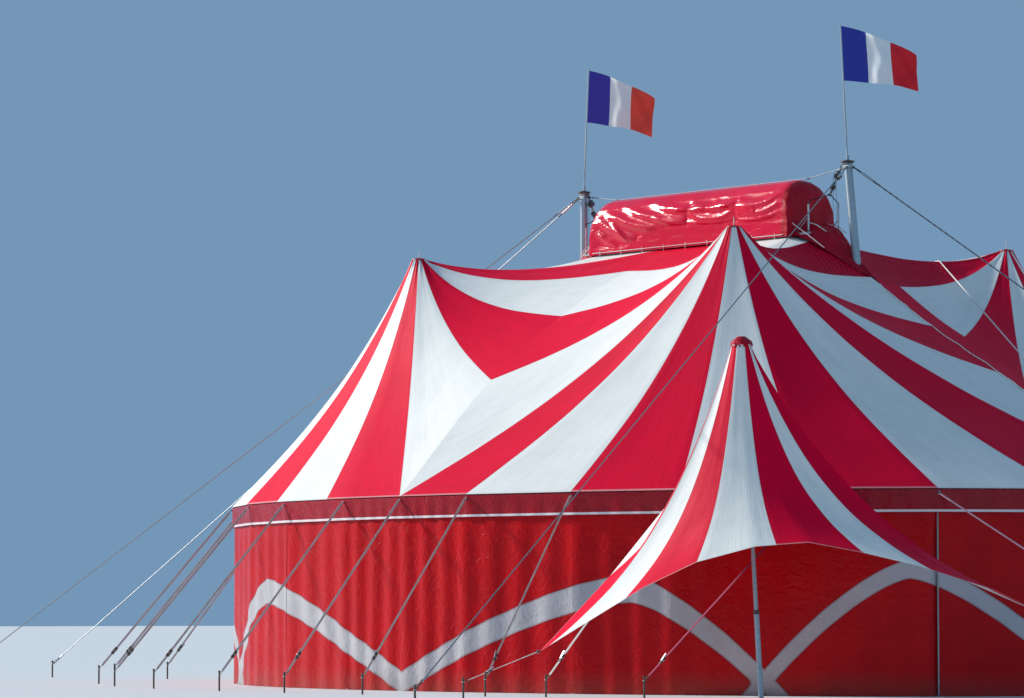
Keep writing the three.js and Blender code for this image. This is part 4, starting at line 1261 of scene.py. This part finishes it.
def ridge_line(zinc, cable, rusty):
    """Cable from head to head over the cupola, with a saddle at each bend."""
    starts = [Vector((-4.0334, 0.06, 11.1644)), Vector((4.209, 0.06, 11.1644))]
    bends = [Vector((-3.05, 0.06, 11.02)), Vector((3.05, 0.06, 11.02))]
    parts = [rope(cable, [starts[0], bends[0], bends[1], starts[1]], 0.01)]
    for start, bend in zip(starts, bends):
        way = (bend - start).normalized()
        parts += [link(rusty, start + way * 0.06, way, (0, 0, 1), 0.026, 0.008, 1.6),
                  *bars(start, way, (zinc, 0.1, 0.3, 0.018, 10)),
                  about(rusty, bend, Vector((0.05, 0, 0)), 0.016, 10)]
    built("ridge_line", parts, "ridge_cable")


def cupola_rods(alloy, rusty):
    """Frame under the cupola: box-section ring, hoops, and brackets with the lifting rods."""
    low, high = RIM_Z, RIM_Z + 0.0597
    parts = []
    for sy in (-1, 1):
        y0, y1 = sorted((sy * 0.485, sy * 0.6897))
        parts.append(block(alloy, (-3.1397, y0, low), (3.1397, y1, high)))
    for sx in (-1, 1):
        x0, x1 = sorted((sx * 3.06, sx * 3.1397))
        parts.append(block(alloy, (x0, -0.486, low), (x1, 0.486, high)))
    for x in (-2.9, -1.45, 0, 1.45, 2.9):
        parts.append(rope(alloy, [Vector((x, 0.62 * y, 9.76 + 1.16 * z)) for y, z in HOOP], 0.016))
    bracket = [block(alloy, (3.1, 0.425, low + 0.008), (3.62, 0.495, high)),
               *bars(Vector((3.57, 0.46, 0)), up(1), (alloy, low + 0.03, 10.39, 0.02, 14),
                     (rusty, high, high + 0.035, 0.034, 6)),
               ring(rusty, (3.57, 0.46, 10.4), (1, 0, 0), 0.02, 0.007, 1.0, 12),
               flat_bar(alloy, (3.2, 0.46, high), (3.55, 0.46, high + 0.3), 0.03, 0.012)]
    for sx in (-1, 1):
        for sy in (-1, 1):
            parts += all_again(bracket, Matrix.Diagonal((sx, sy, 1, 1)))
    scrap(bracket)
    built("cupola_rods", parts, "cupola_frame")


# Quarter poles, eave and porch hardware

def quarter_poles(zinc, vinyl, white, rusty):
    """Quarter poles: bolted foot plate, pole with a joint, and a flat cap with a white spike."""
    x, y, z = PEAK
    foot = Vector((x, y, 0))
    cap = bars(foot, up(1), (vinyl, z + CLEAR, z + 0.034, 0.165, 36, 0.15))[0]
    one = [block(zinc, (x - 0.2, y - 0.2, 0), (x + 0.2, y + 0.2, 0.02)),
           *bars(foot, up(1), (zinc, 0.02, 4.9, 0.055, 20), (zinc, 4.86, 5.0, 0.068, 20),
                 (zinc, 4.98, z + 0.03, 0.05, 20)),
           capped(cap, 0.05, 0.014),
           *bars(foot, up(1), (white, z + 0.05, z + 0.22, 0.013, 10, 0.008),
                 (rusty, z + 0.045, z + 0.062, 0.028, 12))]
    for sx in (-1, 1):
        for sy in (-1, 1):
            bolt = Vector((x + sx * 0.15, y + sy * 0.15, 0.015))
            one += bars(bolt, up(1), (rusty, 0, 0.04, 0.014, 6))
    for row, sy in ROWS:
        for end, sx in SIDES:
            parts = all_again(one, Matrix.Diagonal((sx, sy, 1, 1)))
            built(f"quarter_mast_{row}_{end}", parts, f"quarter_pole_{row}_{end}")
    scrap(one)


def side_pole_parts(zinc, rusty):
    """One side pole at the origin, x pointing outward: foot, pole, collar and the start of its arm."""
    return [block(zinc, (-0.23, -0.08, 0), (-0.07, 0.08, 0.01)),
            *bars(Vector((-0.15, 0, 0)), up(1), (zinc, 0.01, 3.9, 0.036, 14), (zinc, 3.88, 3.95, 0.044, 14)),
            block(rusty, (-0.19, -0.03, 3.925), (-0.02, 0.03, 3.945), 0.003),
            block(rusty, (-0.04, -0.026, 3.93), (0.0, 0.026, 3.955), 0.003)]


def strap_parts(web, zinc, rusty, start, stake, upright=False, wide=STRAP_WIDE):
    """Ratchet strap from a ring at start to a stake: sewn loop, webbing, ratchet and hook."""
    end = Vector((stake[0], stake[1], HOOK_Z))
    way = (end - start).normalized()
    side = across(way, upright)
    off = way.cross(side)
    buckle = end - way * 0.55
    return [flat_bar(web, start + way * 0.04, end - way * 0.12, wide, 0.006, upright),
            flat_bar(web, start + way * 0.03, start + way * 0.34, wide + 0.004, 0.012, upright),
            flat_bar(rusty, buckle - way * 0.09, buckle + way * 0.09, 0.075, 0.026, upright),
            about(zinc, buckle, side * 0.045, 0.016, 10),
            flat_bar(zinc, buckle + way * 0.02 + off * 0.02, buckle - way * 0.15 + off * 0.05, 0.05, 0.008,
                     upright),
            ring(rusty, end - way * 0.1, side, 0.026, 0.006, 1.0, 12),
            flat_bar(rusty, end - way * 0.1, end - way * 0.01, 0.03, 0.008),
            ring(zinc, start + up(0.004), side, 0.03, 0.007)]


def eave_frames(zinc, rusty, webs):
    """Side poles with their arms, the rail, and a strap from each arm to its stake."""
    pole, stake = side_pole_parts(zinc, rusty), stake_parts(rusty, zinc)
    for name, first, last in EAVE_FRAMES:
        parts = []
        for k in range(first, last + 1):
            out, here = outward(k), corner(k, 0, 0)
            facing = turned(out, (-out.y, out.x, 0), up(1))
            parts += all_again(pole, Matrix.Translation(here) @ facing)
            edge = TIE_OUT if k in PORCH_TIES else ARM_OUT
            tip = here + out * edge + up(ARM_Z)
            parts.append(flat_bar(rusty, here - out * 0.03 + up(ARM_Z), tip, 0.045, 0.02))
            door = DOOR_STAKES.get(k)
            base = door or (here + out * STRAP_REACH).xy
            web, wide = webs.get(k, webs["plain"]), DOOR_STRAP_WIDE if door else STRAP_WIDE
            parts += strap_parts(web, zinc, rusty, tip + up(-0.02), base, not door, wide)
            parts += planted(stake, base)
        corners = [corner(k, RAIL_OUT, RAIL_Z) for k in range(first, last + 1)]
        rail_ends = [round_eave(at, RAIL_OUT, RAIL_Z) for at in (first - RAIL_REACH, last + RAIL_REACH)]
        parts.append(rope(zinc, rail_ends[:1] + corners + rail_ends[1:], 0.0125))
        built(f"side_poles_{name}", parts, f"eave_frame_{name}")
    scrap(pole + stake)


def porch_hardware(zinc, rusty, vinyl, pale, web):
    """Leaning telescopic pole with its eight-sided cap, and the two corner straps."""
    middle = PORCH_FOOT.lerp(PORCH_PEAK, 0.25)
    way = (PORCH_PEAK - PORCH_FOOT).normalized()
    x, y, z = PORCH_PEAK
    cap = bars(Vector((x, y, 0)), up(1), (vinyl, z + CLEAR, z + 0.15, 0.232, 8, 0.172))[0]
    parts = [block(zinc, PORCH_FOOT - Vector((0.13, 0.13, 0)), PORCH_FOOT + Vector((0.13, 0.13, 0.012))),
             round_bar(zinc, PORCH_FOOT + way * 0.012, middle, 0.05, 18),
             *bars(middle, way, (rusty, -0.08, 0.01, 0.058, 18)),
             round_bar(zinc, middle - way * 0.02, PORCH_PEAK + up(0.03), 0.04, 18), capped(cap, 0.05, 0.045)]
    for turn in (compass(i, 8) for i in range(8)):
        low = PORCH_PEAK + turn * 0.222 + up(0.012)
        parts.append(flat_bar(pale, PORCH_PEAK + turn * 0.15 + up(0.1), low, 0.06, 0.006))
    built("porch_mast", parts, "porch_pole")
    stake = stake_parts(rusty, zinc)
    for (end, _), tip, base in zip(SIDES, (PORCH_LEFT, PORCH_RIGHT), PORCH_STAKES):
        tab = tip - up(0.018)
        away = Vector((tip.x - x, tip.y - y, 0)).normalized()
        parts = [flat_bar(rusty, tab + away * CLEAR, tab + away * 0.07, 0.06, 0.03)]
        parts += strap_parts(web, zinc, rusty, tab + away * 0.05, base) + planted(stake, base)
        built(f"corner_strap_{end}", parts, f"porch_strap_{end}")
    scrap(stake)


def lacing_ropes(white, roof_sheets):
    """Hem ropes laced in scallops along both laced edges, two ropes laid over the roof, the rope
    in the cupola's hem and the lashings of its skirts: all held in eyelets."""
    trees = [BVHTree.FromPolygons([v.co for v in mesh.vertices], [f.vertices[:] for f in mesh.polygons])
             for mesh in (sheet.data for sheet in roof_sheets)]

    def laid(x, y):
        hits = [tree.ray_cast(Vector((x, y, 20)), up(-1))[0] for tree in trees]
        return Vector((x, y, max(hit.z for hit in hits if hit) + ROPE_LIFT))

    parts = []
    for side in (-1, 1):
        edge = [laid(side * x, -side * (0.02 + 0.05 * abs(math.sin((x - 5.25) * math.pi / 0.75))))
                for x in (5.25 + 7.2 * i / 116 for i in range(117))]
        parts.append(rope(white, edge, 0.013))
        for sy in (-1, 1):
            parts += [rope(white, [Vector((side * x, sy * y, z)) for x, y, z in line], 0.011)
                      for line in (((3.19, 0.57, 10.0), (3.6, 0.55, 9.74), (4.02, 0.44, 9.42)),
                                   ((3.4, 0.3, 10.02), (3.7, 0.34, 9.94), (3.95, 0.3, 9.78)))]
    low, high = laid(12.86, -0.65) - Vector((0.05, 0, 0)), laid(4.45, 2.7)
    back = [laid(4.45 - 0.2 * i, 2.7 + 0.1 * i) for i in range(1, 13)]
    parts.append(rope(white, [low, high] + back, 0.015))
    line = [Vector(spot) for spot in OVER_ROPE]
    spots = [a.lerp(b, i / 12) for a, b in zip(line, line[1:]) for i in range(12)] + line[-1:]
    parts.append(rope(white, [laid(spot.x, spot.y) for spot in spots], 0.013))
    for sy in (-1, 1):
        parts.append(rope(white, [Vector((-3.05, sy * 0.735, 9.75)), Vector((3.05, sy * 0.735, 9.75))],
                          0.009))
        for i in range(9):
            x = -2.8 + i * 0.7
            parts.append(rope(white, [Vector((x, sy * 0.735, 9.8)), Vector((x + 0.02, sy * 0.75, 9.66))],
                              0.006, 0))
    built("lacing_ropes", parts, None)


# Build

studio()
CRIMSON = "#E60034"
CANVAS = [coated_canvas("crimson coated canvas", CRIMSON, "#B00028", 0.5, 0.4, CRIMSON, 0.55),
          coated_canvas("white coated canvas", "#ECEBE6", "#B4B8B6", 0.5, 0.35, CRIMSON)]
ROOF = roof(CANVAS)
hangings(wall_vinyl(), valance_vinyl())
VINYL = cupola_vinyl("crumpled gloss vinyl", "#EE003C", "#C8002E", 0.15, 0.27, 0.5)
# Darker, duller vinyl: painted shade on the cupola's right end; also used for the skirts and caps.
DULL_AND_SHADED = cupola_vinyl("dull gathered vinyl with painted shade", "#C80028", "#960018", 0.35, 0.5, 0.6, 0.2)
cupola_cover([VINYL, DULL_AND_SHADED])
cupola_skirts(DULL_AND_SHADED)
flags(flag_cloth("new flag cloth", (("#1F2E9A", "#2838A2"), ("#F2F3F2", "#DDE1E4"), ("#EA0A22", "#D2081C"))),
      flag_cloth("sun-faded flag cloth", (("#30249A", "#4034A2"), ("#F0EFEC", "#DEDDDE"),
                                          ("#F2503C", "#E63A26"))))
porch(CANVAS)

ZINC = galvanised()
RUSTY = galvanised("dull forged steel", "#6E6660", "#4A423E", 0.6)
ALLOY = galvanised("mill-finish aluminium", "#C9CED0", "#A8AEB1", 0.35)
DARK = galvanised("oiled chain steel", "#33373B", "#22262A", 0.45)
CABLE = wire_rope()
PLAIN = webbing("grey ratchet webbing", "#C9C6C2", "#98928E")
ROPE = lacing_rope()
masts(ZINC, RUSTY)
staffs(ZINC, ROPE, RUSTY)
hoists(machine_paint(), RUSTY, DARK)
mast_guys(ZINC, CABLE, RUSTY)
ridge_line(ZINC, CABLE, RUSTY)
cupola_rods(ALLOY, RUSTY)
quarter_poles(ZINC, DULL_AND_SHADED, ROPE, RUSTY)
eave_frames(ZINC, RUSTY, {"plain": PLAIN, 4: webbing("magenta ratchet webbing", "#A00A54", "#74083E"),
                          5: webbing("washed-out red webbing", "#E8B9C0", "#D68C98")})
lacing_ropes(ROPE, ROOF)
porch_hardware(ZINC, RUSTY, DULL_AND_SHADED, ROPE, PLAIN)
